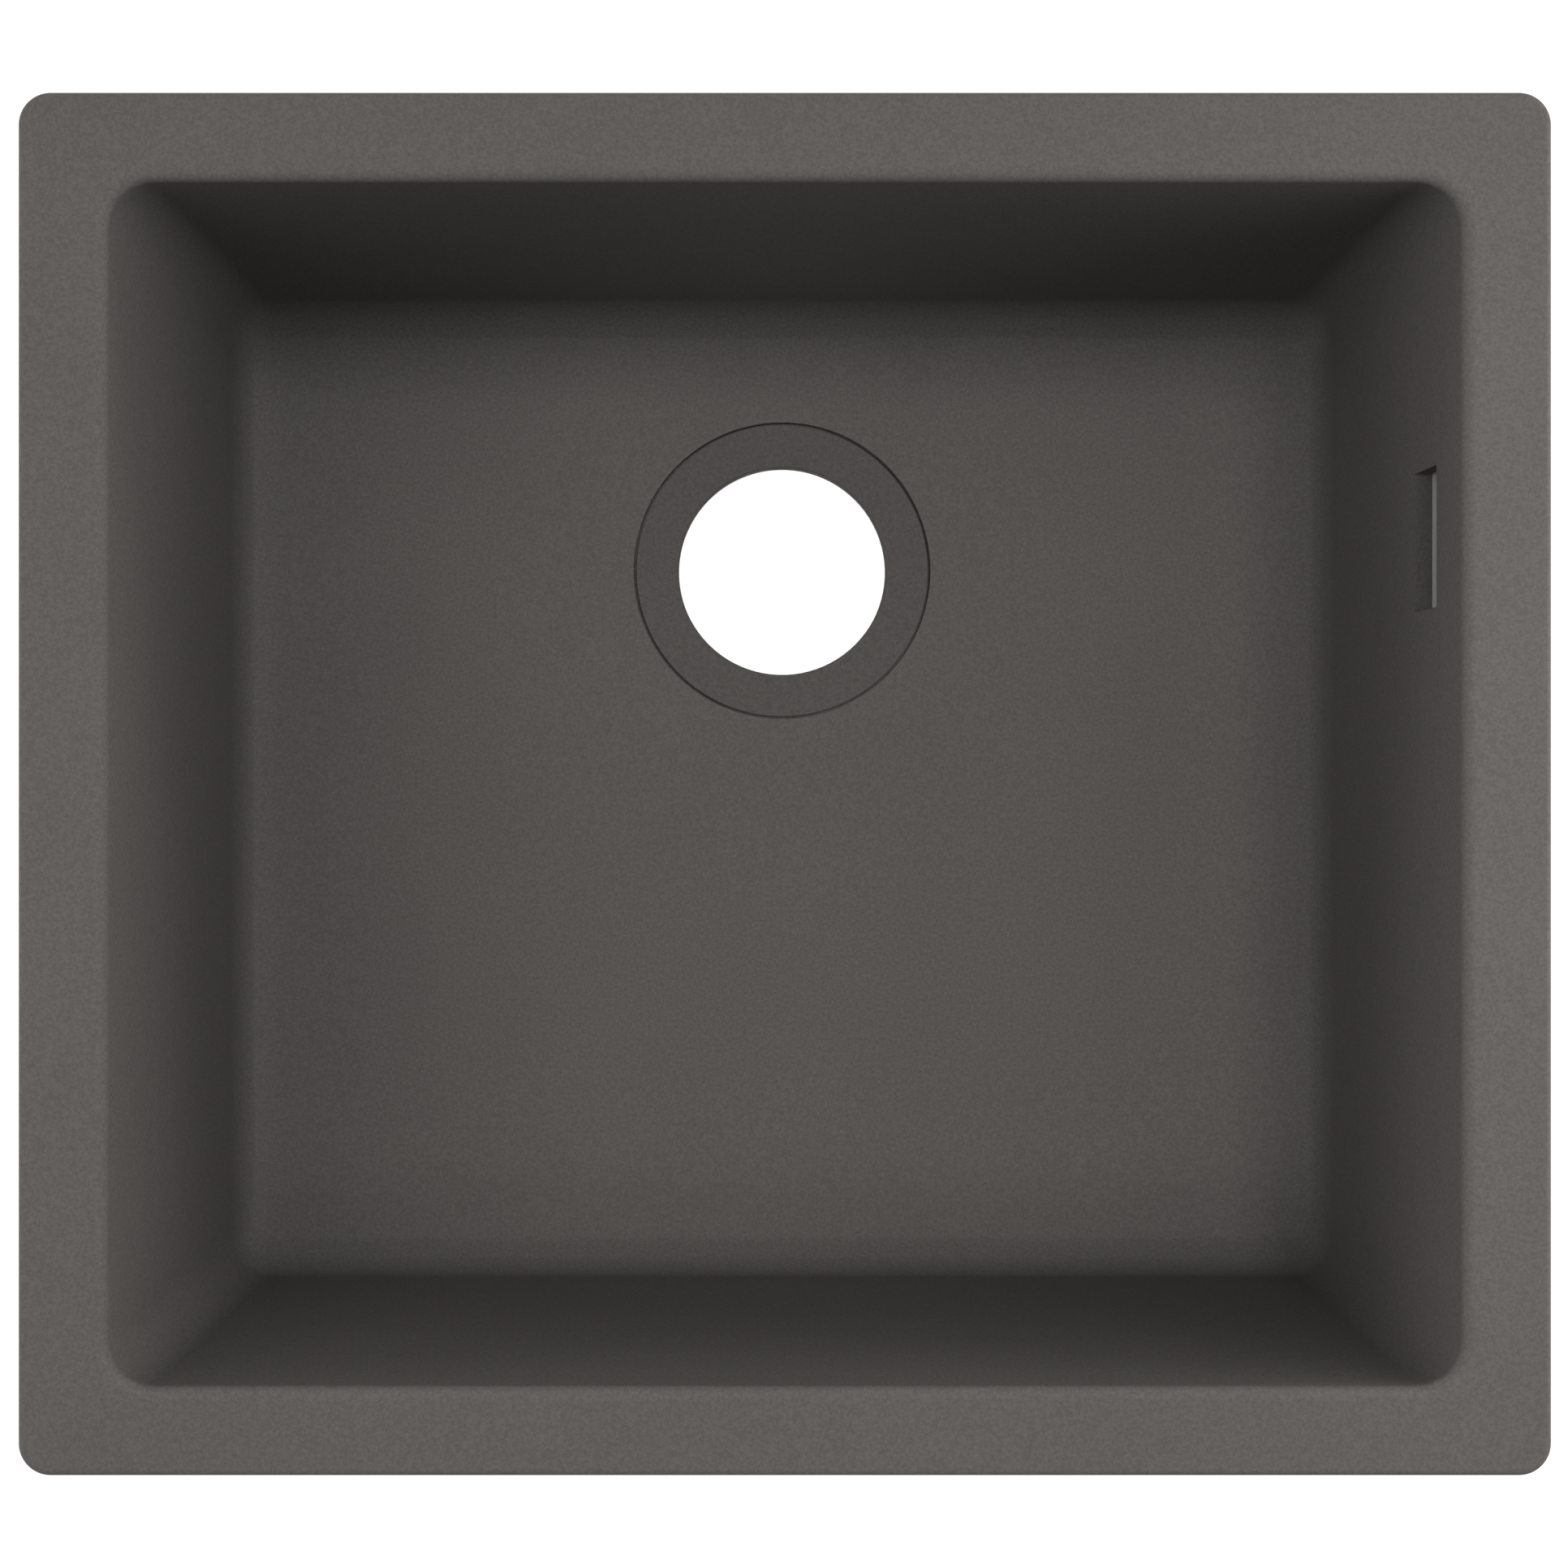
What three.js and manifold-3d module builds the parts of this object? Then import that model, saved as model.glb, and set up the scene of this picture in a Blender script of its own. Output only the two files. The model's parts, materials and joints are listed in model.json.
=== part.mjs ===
// Undermount kitchen sink: a moulded stone-composite bowl, the overflow fitting behind its right wall,
// and eight swivel hangers under its flange that hold it to studs in the worktop.
// Millimetres, +Z up, +X to the right, +Y to the back. The origin lies on the plane of the bowl's
// underside, below the middle of the flange outline.

import * as THREE from 'three';
import { mergeVertices } from 'three/addons/utils/BufferGeometryUtils.js';
import Module from 'manifold-3d';

// ---- Bowl -------------------------------------------------------------------------------------

const bowlLength = 451; // opening in the flange face, left to right
const bowlWidth = 402; // opening in the flange face, front to back
const bowlDepth = 190; // flange face to the floor beside the drain
const flangeBorder = 25; // width of the flange face all round the opening
const flangeThickness = 10;
const flangeCornerRadius = 10.5;
const flangeEdgeRadius = 2; // rounding of the flange's upper outer edge
const lipRadius = 4; // rounding from the flange face into the bowl
const bowlCornerRadius = 15.5; // upright corners of the bowl, below the lip
const wallDraft = 2.8; // degrees that the walls lean inwards on the way down
const wallThickness = 9;
const floorThickness = 10;
const floorFall = 1.5; // the floor drops this much from its edge to the drain
const outerFootRadius = 8; // rounding from the outer wall to the underside

// The wall curves in through a steep toe, which meets a long shallow sweep at a soft crease. Runs are
// measured inwards.
const toeHeight = 21;
const toeArc = 45; // degrees of the arc that is stretched to the toe's height and runs
const toeRunSide = 4.5; // left and right walls
const toeRunEnd = 10.5; // front and back walls
const sweepHeight = 2.6;
const sweepRun = 12;
const floorCornerRadius = 3; // smallest corner radius, where the sweep ends in the floor

// ---- Drain ------------------------------------------------------------------------------------

const drainOffset = 86; // towards the back from the middle of the bowl
const drainHoleDiameter = 82;
const drainHoleEdgeRadius = 1;
const strainerSeatDiameter = 115; // round recess that takes a strainer's flange
const strainerSeatDepth = 0.5; // at the recess's rim
const strainerSeatFall = 2; // the dished recess face drops this much from its rim to the hole
const seatGrooveWidth = 1; // fine groove round the recess
const seatGrooveDepth = 1.5; // below the recess's rim

// ---- Overflow slot and the land behind it -----------------------------------------------------

const slotOffset = 84; // towards the back from the middle of the bowl
const slotLength = 48;
const slotHeight = 26;
const slotTopDepth = 31; // flange face to the slot's upper edge
const slotCornerRadius = 1;
const slotWallThickness = 4.5; // wall left at the slot's upper edge, where the pocket thins it
const landProjection = 2.6; // flat outer face beyond the wall at the slot's mid height
const landMargin = 1.5; // land beyond the fitting's plate
const landCornerRadius = 6;

// ---- Overflow fitting -------------------------------------------------------------------------

const rimWall = 1.6; // rim that reaches through the gasket to the bowl
const gasketBand = 5; // width of the gasket round the rim
const plateThickness = 3;
const plateMargin = 1; // plate beyond the gasket, above and below
const chamberWall = 2;
const chamberSideMargin = 2; // chamber inside beyond the slot, each side
const chamberSump = 5; // chamber inside below the slot
const chamberInset = 2; // chamber stays this far inside the flange outline
const spigotRadius = 8;
const spigotWall = 2;
const spigotLength = 28;
const barbHeight = 0.6;
const barbLength = 5;
const barbPitch = 9;
const barbCount = 2;

const fittingScrewRadius = 2;
const fittingScrewHeadRadius = 4;
const fittingScrewHeadTopRadius = 3; // where the head's crown is flat
const fittingScrewHeadHeight = 2.8;
const fittingScrewLength = 8.5; // below the head
const fittingInsertRadius = 3;
const fittingInsertLength = 7;
const fittingScrewMargin = 6; // screw centre to the end of the plate
const fittingScrewGap = 7; // screw centre beyond the gasket

// ---- Hangers ----------------------------------------------------------------------------------

const hangerFromCorner = 50; // pivot to the flange's outer corner, along the edge
const bossHeight = 5; // boss below the flange
const bossRadius = 6.5;
const armThickness = 3;
const armWallGap = 2; // arm to the bowl's outer wall at rest
const armEdgeInset = 0.5; // arm inside the flange outline at rest
const armSlotReach = 22; // pivot to the middle of the stud slot
const armSlotWidth = 6.5;
const armSlotLength = 10;
const armTipMargin = 4; // metal beyond the slot
const shoulderRadius = 4;
const threadRadius = 3;
const threadLength = 10;
const insertWall = 1.5;
const insertLength = 11;
const waveThickness = 0.6;
const waveHeight = 0.6; // rise of the spring washer's waves
const waveCount = 3;
const washerBand = 3;
const screwCollarRadius = 7.5;
const screwCollarHeight = 1.5;
const hexAcrossFlats = 10;
const hexHeight = 5;

// ---- Clearances -------------------------------------------------------------------------------

const seatGap = 0.3; // between two pieces that seat on each other
const boreGap = 0.3; // radial, round an insert or a screw
const cutOver = 1; // a cutter runs this far past the face that it opens

// ---- Roundness of the solids ------------------------------------------------------------------

const cornerSteps = 9; // steps in each corner of the bowl's rings
const toeSteps = 4;
const sweepSteps = 3;
const edgeAngles = [0, 45, 90]; // degrees at which a rounded edge of the bowl has a ring
const roundSegments = 16; // round a turned piece
const waveSegments = 6; // along each wave of a spring washer
const arcSegments = 2; // steps in half a corner's arc of an extruded outline
const armArcSegments = 5; // the same, in the arm's long arcs
const circleSegments = roundSegments / 2; // the same, in a full circle
const halfCircleSegments = roundSegments / 4; // the same, in half a circle

// ---- Places worked out from the sizes ---------------------------------------------------------

const radians = THREE.MathUtils.degToRad;
const upwards = new THREE.Vector3(0, 0, 1);
const flangeFaceZ = bowlDepth + floorThickness;
const flangeUnderZ = flangeFaceZ - flangeThickness;
const flangeHalf = new THREE.Vector2(bowlLength / 2 + flangeBorder, bowlWidth / 2 + flangeBorder);
const openingHalf = new THREE.Vector2(bowlLength / 2, bowlWidth / 2);
const ringPoints = 4 * (cornerSteps + 1);

// Distance that the inner wall stands inside the opening at a height.
function wallInset(z) {
  return lipRadius + Math.max(0, flangeFaceZ - lipRadius - z) * Math.tan(radians(wallDraft));
}

// Outer wall's distance from the middle of the bowl, to the right, at a height.
function outerWallX(z) {
  return openingHalf.x - wallInset(z) + wallThickness;
}

// ---- Turning geometries into solids and back --------------------------------------------------

const wasm = await Module();
wasm.setup();

function toSolid(geometry) {
  const bare = geometry.clone();
  bare.deleteAttribute('normal');
  bare.deleteAttribute('uv');
  const merged = mergeVertices(bare, 1e-4);
  const corners = merged.index.array;
  const faces = [];
  for (let i = 0; i < corners.length; i += 3) {
    const [a, b, c] = corners.slice(i, i + 3);
    if (a !== b && b !== c && c !== a) faces.push(a, b, c);
  }
  return new wasm.Manifold(new wasm.Mesh({
    numProp: 3,
    vertProperties: merged.attributes.position.array,
    triVerts: Uint32Array.from(faces),
  }));
}

function toGeometry(solid) {
  const mesh = solid.getMesh();
  const geometry = new THREE.BufferGeometry();
  geometry.setAttribute('position', new THREE.BufferAttribute(mesh.vertProperties, 3));
  geometry.setIndex(new THREE.BufferAttribute(mesh.triVerts, 1));
  geometry.computeVertexNormals();
  return geometry;
}

function joined(...geometries) {
  return geometries.map(toSolid).reduce((whole, part) => whole.add(part));
}

function cut(solid, ...geometries) {
  return geometries.map(toSolid).reduce((left, tool) => left.subtract(tool), solid);
}

// ---- Shapes -----------------------------------------------------------------------------------

// One level of the bowl: a rounded rectangle round the middle of the bowl.
function rectangleRing(half, radius, z) {
  const ring = [];
  for (let index = 0; index < ringPoints; index++) {
    const corner = Math.floor(index / (cornerSteps + 1));
    const step = index % (cornerSteps + 1);
    const angle = radians(90) * (corner + step / cornerSteps);
    const signX = corner === 0 || corner === 3 ? 1 : -1;
    const signY = corner < 2 ? 1 : -1;
    ring.push(new THREE.Vector3(
      signX * (half.x - radius) + radius * Math.cos(angle),
      signY * (half.y - radius) + radius * Math.sin(angle),
      z,
    ));
  }
  return ring;
}

// The same number of points on a circle round the drain.
function drainRing(radius, z) {
  const ring = [];
  for (let index = 0; index < ringPoints; index++) {
    const angle = radians(360) * (index + 0.5) / ringPoints;
    ring.push(new THREE.Vector3(radius * Math.cos(angle), drainOffset + radius * Math.sin(angle), z));
  }
  return ring;
}

// A skin through the rings in order, with the last ring joined to the first.
function closedLoft(rings) {
  const faces = [];
  rings.forEach((ring, level) => {
    const here = level * ringPoints;
    const next = ((level + 1) % rings.length) * ringPoints;
    ring.forEach((point, index) => {
      const after = (index + 1) % ringPoints;
      faces.push(here + index, here + after, next + after);
      faces.push(here + index, next + after, next + index);
    });
  });
  return new THREE.BufferGeometry().setFromPoints(rings.flat()).setIndex(faces);
}

function roundedRectangle(width, height, radius, hole = false) {
  const x = width / 2;
  const y = height / 2;
  const shape = hole ? new THREE.Path() : new THREE.Shape();
  shape.moveTo(-x + radius, -y);
  shape.absarc(x - radius, -y + radius, radius, radians(-90), 0);
  shape.absarc(x - radius, y - radius, radius, 0, radians(90));
  shape.absarc(-x + radius, y - radius, radius, radians(90), radians(180));
  shape.absarc(-x + radius, -y + radius, radius, radians(180), radians(270));
  return shape;
}

function roundHole(x, y, radius) {
  return new THREE.Path().absarc(x, y, radius, 0, radians(360));
}

function extruded(shape, depth, curveSegments = arcSegments) {
  return new THREE.ExtrudeGeometry(shape, { depth, bevelEnabled: false, curveSegments });
}

// Shapes behind the right wall are drawn as seen from the bowl, across Y and up Z, and grow along +X.
const alongX = new THREE.Matrix4().makeBasis(
  new THREE.Vector3(0, 1, 0),
  new THREE.Vector3(0, 0, 1),
  new THREE.Vector3(1, 0, 0),
);

function behindWall(geometry, fromX, y = slotOffset, z = slotMiddleZ) {
  return geometry.applyMatrix4(alongX).translate(fromX, y, z);
}

// A body of revolution that stands along +Z, from a closed outline of radius and height pairs.
function turned(outline, segments = roundSegments) {
  const points = outline.map(([radius, height]) => new THREE.Vector2(radius, height));
  const geometry = new THREE.LatheGeometry(points, segments);
  return geometry.rotateX(radians(90));
}

function tubeOutline(inner, outer, from, to) {
  return [[inner, from], [outer, from], [outer, to], [inner, to], [inner, from]];
}

function rodOutline(radius, from, to) {
  return [[0, from], [radius, from], [radius, to], [0, to]];
}

// ---- Materials --------------------------------------------------------------------------------

const materials = {
  composite: new THREE.MeshStandardMaterial({ color: 0x6b6763, roughness: 0.62, metalness: 0 }),
  stainless: new THREE.MeshStandardMaterial({ color: 0xb9bbbd, roughness: 0.35, metalness: 1 }),
  zincPlated: new THREE.MeshStandardMaterial({ color: 0xc2c4c3, roughness: 0.3, metalness: 1 }),
  springSteel: new THREE.MeshStandardMaterial({ color: 0x8f9194, roughness: 0.4, metalness: 1 }),
  brass: new THREE.MeshStandardMaterial({ color: 0xc9a55c, roughness: 0.35, metalness: 1 }),
  plastic: new THREE.MeshStandardMaterial({ color: 0xb4b3b0, roughness: 0.5, metalness: 0 }),
  rubber: new THREE.MeshStandardMaterial({ color: 0x1d1d1e, roughness: 0.85, metalness: 0 }),
};

const sink = new THREE.Group();

function addPiece(name, shape, material, parent = sink) {
  const geometry = shape.isBufferGeometry ? shape : toGeometry(shape);
  const mesh = new THREE.Mesh(geometry, material);
  mesh.name = name;
  parent.add(mesh);
  return mesh;
}

// ---- Overflow: places -------------------------------------------------------------------------

const slotMiddleZ = flangeFaceZ - slotTopDepth - slotHeight / 2;
const innerWallAtSlotTopX = openingHalf.x - wallInset(flangeFaceZ - slotTopDepth);
const pocketX = innerWallAtSlotTopX + slotWallThickness;
const landX = outerWallX(slotMiddleZ) + landProjection;
const rimWidth = slotLength + 2 * rimWall;
const rimHeight = slotHeight + 2 * rimWall;
const gasketWidth = rimWidth + 2 * (seatGap + gasketBand);
const gasketHeight = rimHeight + 2 * (seatGap + gasketBand);
const plateX = landX + seatGap;
const fittingScrewSpread = gasketWidth / 2 + fittingScrewGap;
const plateWidth = 2 * (fittingScrewSpread + fittingScrewMargin);
const plateHeight = gasketHeight + 2 * plateMargin;
const chamberX = plateX + plateThickness;
const chamberEndX = flangeHalf.x - chamberInset;
const chamberTopZ = slotMiddleZ + slotHeight / 2 + chamberWall;
const chamberFloorZ = slotMiddleZ - slotHeight / 2 - chamberSump;
const chamberWidth = slotLength + 2 * (chamberSideMargin + chamberWall);
const spigotX = chamberEndX - spigotRadius;
const spigotTopZ = chamberFloorZ - chamberWall;

// ---- Hangers: places --------------------------------------------------------------------------

const ledgeWidth = flangeHalf.x - outerWallX(flangeUnderZ);
const armWidth = ledgeWidth - armWallGap - armEdgeInset;
const pivotInset = armWidth / 2 + armEdgeInset; // pivot to the flange's outer edge
const pivotToWall = ledgeWidth - pivotInset;
const insertRadius = threadRadius + boreGap + insertWall;
const bossUnderZ = flangeUnderZ - bossHeight;
const armTopZ = bossUnderZ - seatGap;
const washerTopZ = armTopZ - armThickness - seatGap;
const washerUnderZ = washerTopZ - waveThickness - waveHeight;
const collarTopZ = washerUnderZ - seatGap;

// Each side of the flange has two hangers. Turned to the right-hand side, the one at end +1 is
// nearer to +Y. Their arms rest pointing at each other and swing outwards.
const sides = [
  { name: 'right', turn: 0, ends: { 1: 'back', '-1': 'front' } },
  { name: 'back', turn: 90, ends: { 1: 'left', '-1': 'right' } },
  { name: 'left', turn: 180, ends: { 1: 'front', '-1': 'back' } },
  { name: 'front', turn: 270, ends: { 1: 'right', '-1': 'left' } },
];

function hangerPlaces() {
  return sides.flatMap(({ name, turn, ends }) => [1, -1].map((end) => {
    const across = turn % 180 === 0;
    const out = (across ? flangeHalf.x : flangeHalf.y) - pivotInset;
    const along = end * ((across ? flangeHalf.y : flangeHalf.x) - hangerFromCorner);
    const pivot = new THREE.Vector3(out, along, 0).applyAxisAngle(upwards, radians(turn));
    return { name: `${name}_${ends[end]}`, end, turn, pivot };
  }));
}

// ---- Bowl -------------------------------------------------------------------------------------

function shrunk(half, insetX, insetY = insetX) {
  return new THREE.Vector2(half.x - insetX, half.y - insetY);
}

// Rings from the drain hole's lower edge along the underside and up the outside to the flange.
function outerRings() {
  const wallHalf = (z) => shrunk(openingHalf, wallInset(z) - wallThickness);
  const cornerRadius = bowlCornerRadius + wallThickness;
  const rings = [drainRing(drainHoleDiameter / 2, 0)];
  for (const angle of edgeAngles) {
    const inset = outerFootRadius * (1 - Math.sin(radians(angle)));
    const z = outerFootRadius * (1 - Math.cos(radians(angle)));
    rings.push(rectangleRing(shrunk(wallHalf(outerFootRadius), inset), cornerRadius - inset, z));
  }
  rings.push(rectangleRing(wallHalf(flangeUnderZ), cornerRadius, flangeUnderZ));
  rings.push(rectangleRing(flangeHalf, flangeCornerRadius, flangeUnderZ));
  for (const angle of edgeAngles) {
    const inset = flangeEdgeRadius * (1 - Math.cos(radians(angle)));
    const z = flangeFaceZ - flangeEdgeRadius * (1 - Math.sin(radians(angle)));
    rings.push(rectangleRing(shrunk(flangeHalf, inset), flangeCornerRadius - inset, z));
  }
  return rings;
}

// Rings over the lip, down the inner wall and through the toe and the sweep to the floor's edge.
function innerRings() {
  const rings = [];
  for (const angle of edgeAngles) {
    const inset = lipRadius * Math.sin(radians(angle));
    const z = flangeFaceZ - lipRadius * (1 - Math.cos(radians(angle)));
    rings.push(rectangleRing(shrunk(openingHalf, inset), bowlCornerRadius + lipRadius - inset, z));
  }
  const floorEdgeZ = floorThickness + floorFall;
  const toeTopZ = floorEdgeZ + sweepHeight + toeHeight;
  const addFootRing = (runSide, runEnd, z) => {
    const wall = wallInset(toeTopZ);
    const radius = Math.max(bowlCornerRadius - (runSide + runEnd) / 2, floorCornerRadius);
    rings.push(rectangleRing(shrunk(openingHalf, wall + runSide, wall + runEnd), radius, z));
  };
  const lastAngle = radians(toeArc);
  for (let step = 0; step <= toeSteps; step++) {
    const angle = lastAngle * step / toeSteps;
    const share = (1 - Math.cos(angle)) / (1 - Math.cos(lastAngle));
    const drop = toeHeight * Math.sin(angle) / Math.sin(lastAngle);
    addFootRing(toeRunSide * share, toeRunEnd * share, toeTopZ - drop);
  }
  for (let step = 1; step <= sweepSteps; step++) {
    const share = step / sweepSteps;
    const rise = sweepHeight * (1 - share) ** 2;
    addFootRing(toeRunSide + sweepRun * share, toeRunEnd + sweepRun * share, floorEdgeZ + rise);
  }
  return rings;
}

// Rings from the floor down to the strainer's seat and into the drain hole.
function drainRings() {
  const seatRadius = strainerSeatDiameter / 2;
  const holeRadius = drainHoleDiameter / 2;
  const seatZ = floorThickness - strainerSeatDepth;
  const holeZ = seatZ - strainerSeatFall;
  return [
    drainRing(seatRadius + seatGrooveWidth, floorThickness),
    drainRing(seatRadius + seatGrooveWidth, seatZ - seatGrooveDepth),
    drainRing(seatRadius, seatZ - seatGrooveDepth),
    drainRing(seatRadius, seatZ),
    drainRing(holeRadius + drainHoleEdgeRadius, holeZ),
    drainRing(holeRadius, holeZ - drainHoleEdgeRadius),
  ];
}

function hangerBoss({ pivot, turn }) {
  const boss = new THREE.Shape();
  const root = -pivotToWall - wallThickness / 2;
  boss.moveTo(root, -bossRadius);
  boss.lineTo(0, -bossRadius);
  boss.absarc(0, 0, bossRadius, radians(-90), radians(90));
  boss.lineTo(root, bossRadius);
  return extruded(boss, bossHeight + flangeThickness / 2, halfCircleSegments)
    .rotateZ(radians(turn))
    .translate(pivot.x, pivot.y, bossUnderZ);
}

function hangerBore({ pivot }) {
  return turned(rodOutline(insertRadius + boreGap, -cutOver, insertLength + boreGap))
    .translate(pivot.x, pivot.y, bossUnderZ);
}

function fittingScrewPlaces() {
  return [['back', fittingScrewSpread], ['front', -fittingScrewSpread]];
}

function addBowl() {
  const shell = closedLoft([...outerRings(), ...innerRings(), ...drainRings()]);
  const landRoot = landX - landProjection - wallThickness / 2;
  const land = behindWall(
    extruded(
      roundedRectangle(plateWidth + 2 * landMargin, plateHeight + 2 * landMargin, landCornerRadius),
      landX - landRoot,
    ),
    landRoot,
  );
  const slot = behindWall(
    extruded(roundedRectangle(slotLength, slotHeight, slotCornerRadius), 2 * wallThickness),
    pocketX - 2 * wallThickness + cutOver,
  );
  const pocket = behindWall(
    extruded(
      roundedRectangle(gasketWidth + 2 * seatGap, gasketHeight + 2 * seatGap, rimWall + gasketBand),
      2 * wallThickness,
    ),
    pocketX,
  );
  const fittingBores = fittingScrewPlaces().map(([, offset]) => {
    const bore = new THREE.Shape().absarc(offset, 0, fittingInsertRadius + boreGap, 0, radians(360));
    return behindWall(
      extruded(bore, fittingInsertLength + wallThickness, circleSegments),
      landX - fittingInsertLength - boreGap,
    );
  });
  const hangers = hangerPlaces();
  const body = joined(shell, land, ...hangers.map(hangerBoss));
  const bowl = cut(body, slot, pocket, ...fittingBores, ...hangers.map(hangerBore));
  addPiece('bowl', bowl, materials.composite);
}

// ---- Overflow fitting -------------------------------------------------------------------------

function addOverflowHousing() {
  const plateShape = roundedRectangle(plateWidth, plateHeight, landCornerRadius);
  fittingScrewPlaces().forEach(([, offset]) => {
    plateShape.holes.push(roundHole(offset, 0, fittingScrewRadius + boreGap));
  });
  const plate = behindWall(extruded(plateShape, plateThickness, halfCircleSegments), plateX);
  const rim = behindWall(
    extruded(
      roundedRectangle(rimWidth, rimHeight, slotCornerRadius + rimWall),
      plateX - pocketX - seatGap + plateThickness / 2,
    ),
    pocketX + seatGap,
  );

  const chamberHeight = chamberTopZ - spigotTopZ;
  const chamberMiddleZ = (chamberTopZ + spigotTopZ) / 2;
  const chamber = behindWall(
    extruded(
      roundedRectangle(chamberWidth, chamberHeight, landCornerRadius / 2),
      chamberEndX - chamberX + plateThickness / 2,
    ),
    chamberX - plateThickness / 2,
    slotOffset,
    chamberMiddleZ,
  );
  const throat = behindWall(
    extruded(roundedRectangle(slotLength, slotHeight, slotCornerRadius), chamberX - pocketX + cutOver),
    pocketX,
  );
  const hollowHeight = chamberHeight - 2 * chamberWall;
  const hollow = behindWall(
    extruded(
      roundedRectangle(chamberWidth - 2 * chamberWall, hollowHeight, slotCornerRadius),
      chamberEndX - chamberWall - chamberX,
    ),
    chamberX,
    slotOffset,
    chamberMiddleZ,
  );

  const boreRadius = spigotRadius - spigotWall;
  const spigotFootZ = spigotTopZ - spigotLength;
  const outline = [[0, spigotTopZ + chamberWall / 2], [spigotRadius, spigotTopZ + chamberWall / 2]];
  for (let barb = barbCount - 1; barb >= 0; barb--) {
    const foot = spigotFootZ + barb * barbPitch;
    outline.push([spigotRadius, foot + barbLength]);
    outline.push([spigotRadius + barbHeight, foot + barbLength]);
    outline.push([spigotRadius, foot]);
  }
  outline.push([0, spigotFootZ]);
  const spigot = turned(outline.reverse()).translate(spigotX, slotOffset, 0);
  const bore = turned(rodOutline(boreRadius, spigotFootZ - cutOver, chamberFloorZ + cutOver))
    .translate(spigotX, slotOffset, 0);

  const housing = cut(joined(plate, rim, chamber, spigot), throat, hollow, bore);
  addPiece('overflow_housing', housing, materials.plastic);
}

function addOverflowGasket() {
  const shape = roundedRectangle(gasketWidth, gasketHeight, rimWall + gasketBand);
  const inside = [rimWidth + 2 * seatGap, rimHeight + 2 * seatGap];
  shape.holes.push(roundedRectangle(...inside, slotCornerRadius + rimWall, true));
  const thickness = landX - pocketX - seatGap;
  addPiece('overflow_gasket', behindWall(extruded(shape, thickness), pocketX + seatGap), materials.rubber);
}

// A screw or insert behind the wall is turned about Z and then laid along +X, head outwards.
function layAlongX(geometry, x, offset) {
  return geometry.rotateY(radians(90)).translate(x, slotOffset + offset, slotMiddleZ);
}

function addOverflowFasteners() {
  for (const [end, offset] of fittingScrewPlaces()) {
    const insert = turned(tubeOutline(
      fittingScrewRadius + boreGap,
      fittingInsertRadius,
      -fittingInsertLength,
      0,
    ));
    addPiece(`overflow_insert_${end}`, layAlongX(insert, landX, offset), materials.brass);

    const headX = chamberX + seatGap;
    const screw = turned([
      [0, -fittingScrewLength],
      [fittingScrewRadius, -fittingScrewLength],
      [fittingScrewRadius, 0],
      [fittingScrewHeadRadius, 0],
      [fittingScrewHeadRadius, fittingScrewHeadHeight / 2],
      [fittingScrewHeadTopRadius, fittingScrewHeadHeight],
      [0, fittingScrewHeadHeight],
    ]);
    addPiece(`overflow_screw_${end}`, layAlongX(screw, headX, offset), materials.zincPlated);
  }
}

// ---- Hangers ----------------------------------------------------------------------------------

// The arm is drawn pointing along +X from its pivot, with its upper face at z = 0.
function armGeometry() {
  const slotHalf = armSlotLength / 2 - armSlotWidth / 2;
  const tipX = armSlotReach + armSlotLength / 2 + armTipMargin - armWidth / 2;
  const shape = new THREE.Shape();
  shape.moveTo(0, -armWidth / 2);
  shape.absarc(tipX, 0, armWidth / 2, radians(-90), radians(90));
  shape.absarc(0, 0, armWidth / 2, radians(90), radians(270));
  shape.holes.push(roundHole(0, 0, shoulderRadius + boreGap));
  const slot = new THREE.Path();
  slot.absarc(armSlotReach + slotHalf, 0, armSlotWidth / 2, radians(-90), radians(90));
  slot.absarc(armSlotReach - slotHalf, 0, armSlotWidth / 2, radians(90), radians(270));
  shape.holes.push(slot);
  return extruded(shape, armThickness, armArcSegments).translate(0, 0, -armThickness);
}

// A spring washer: a flat ring that rises and falls round its turn. Its highest points are at z = 0.
function waveWasherGeometry() {
  const inner = shoulderRadius + boreGap;
  const outline = tubeOutline(inner, inner + washerBand, -waveHeight - waveThickness, -waveHeight);
  const washer = turned(outline, waveSegments * waveCount);
  const position = washer.attributes.position;
  for (let i = 0; i < position.count; i++) {
    const angle = Math.atan2(position.getY(i), position.getX(i));
    const rise = waveHeight * (1 + Math.cos(waveCount * angle)) / 2;
    position.setZ(i, position.getZ(i) + rise);
  }
  return washer;
}

// A shoulder screw. Its shoulder ends on the insert at z = 0, and its hexagon head hangs below.
function shoulderScrew() {
  const collarTop = collarTopZ - bossUnderZ;
  const stem = turned([
    [0, collarTop - screwCollarHeight],
    [screwCollarRadius, collarTop - screwCollarHeight],
    [screwCollarRadius, collarTop],
    [shoulderRadius, collarTop],
    [shoulderRadius, -seatGap],
    [threadRadius, -seatGap],
    [threadRadius, threadLength],
    [0, threadLength],
  ]);
  const overlap = screwCollarHeight / 2;
  const hexagon = new THREE.CylinderGeometry(
    hexAcrossFlats / Math.sqrt(3),
    hexAcrossFlats / Math.sqrt(3),
    hexHeight + overlap,
    6,
  );
  hexagon.rotateX(radians(90));
  hexagon.translate(0, 0, collarTop - screwCollarHeight + overlap - (hexHeight + overlap) / 2);
  return joined(stem, hexagon);
}

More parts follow.
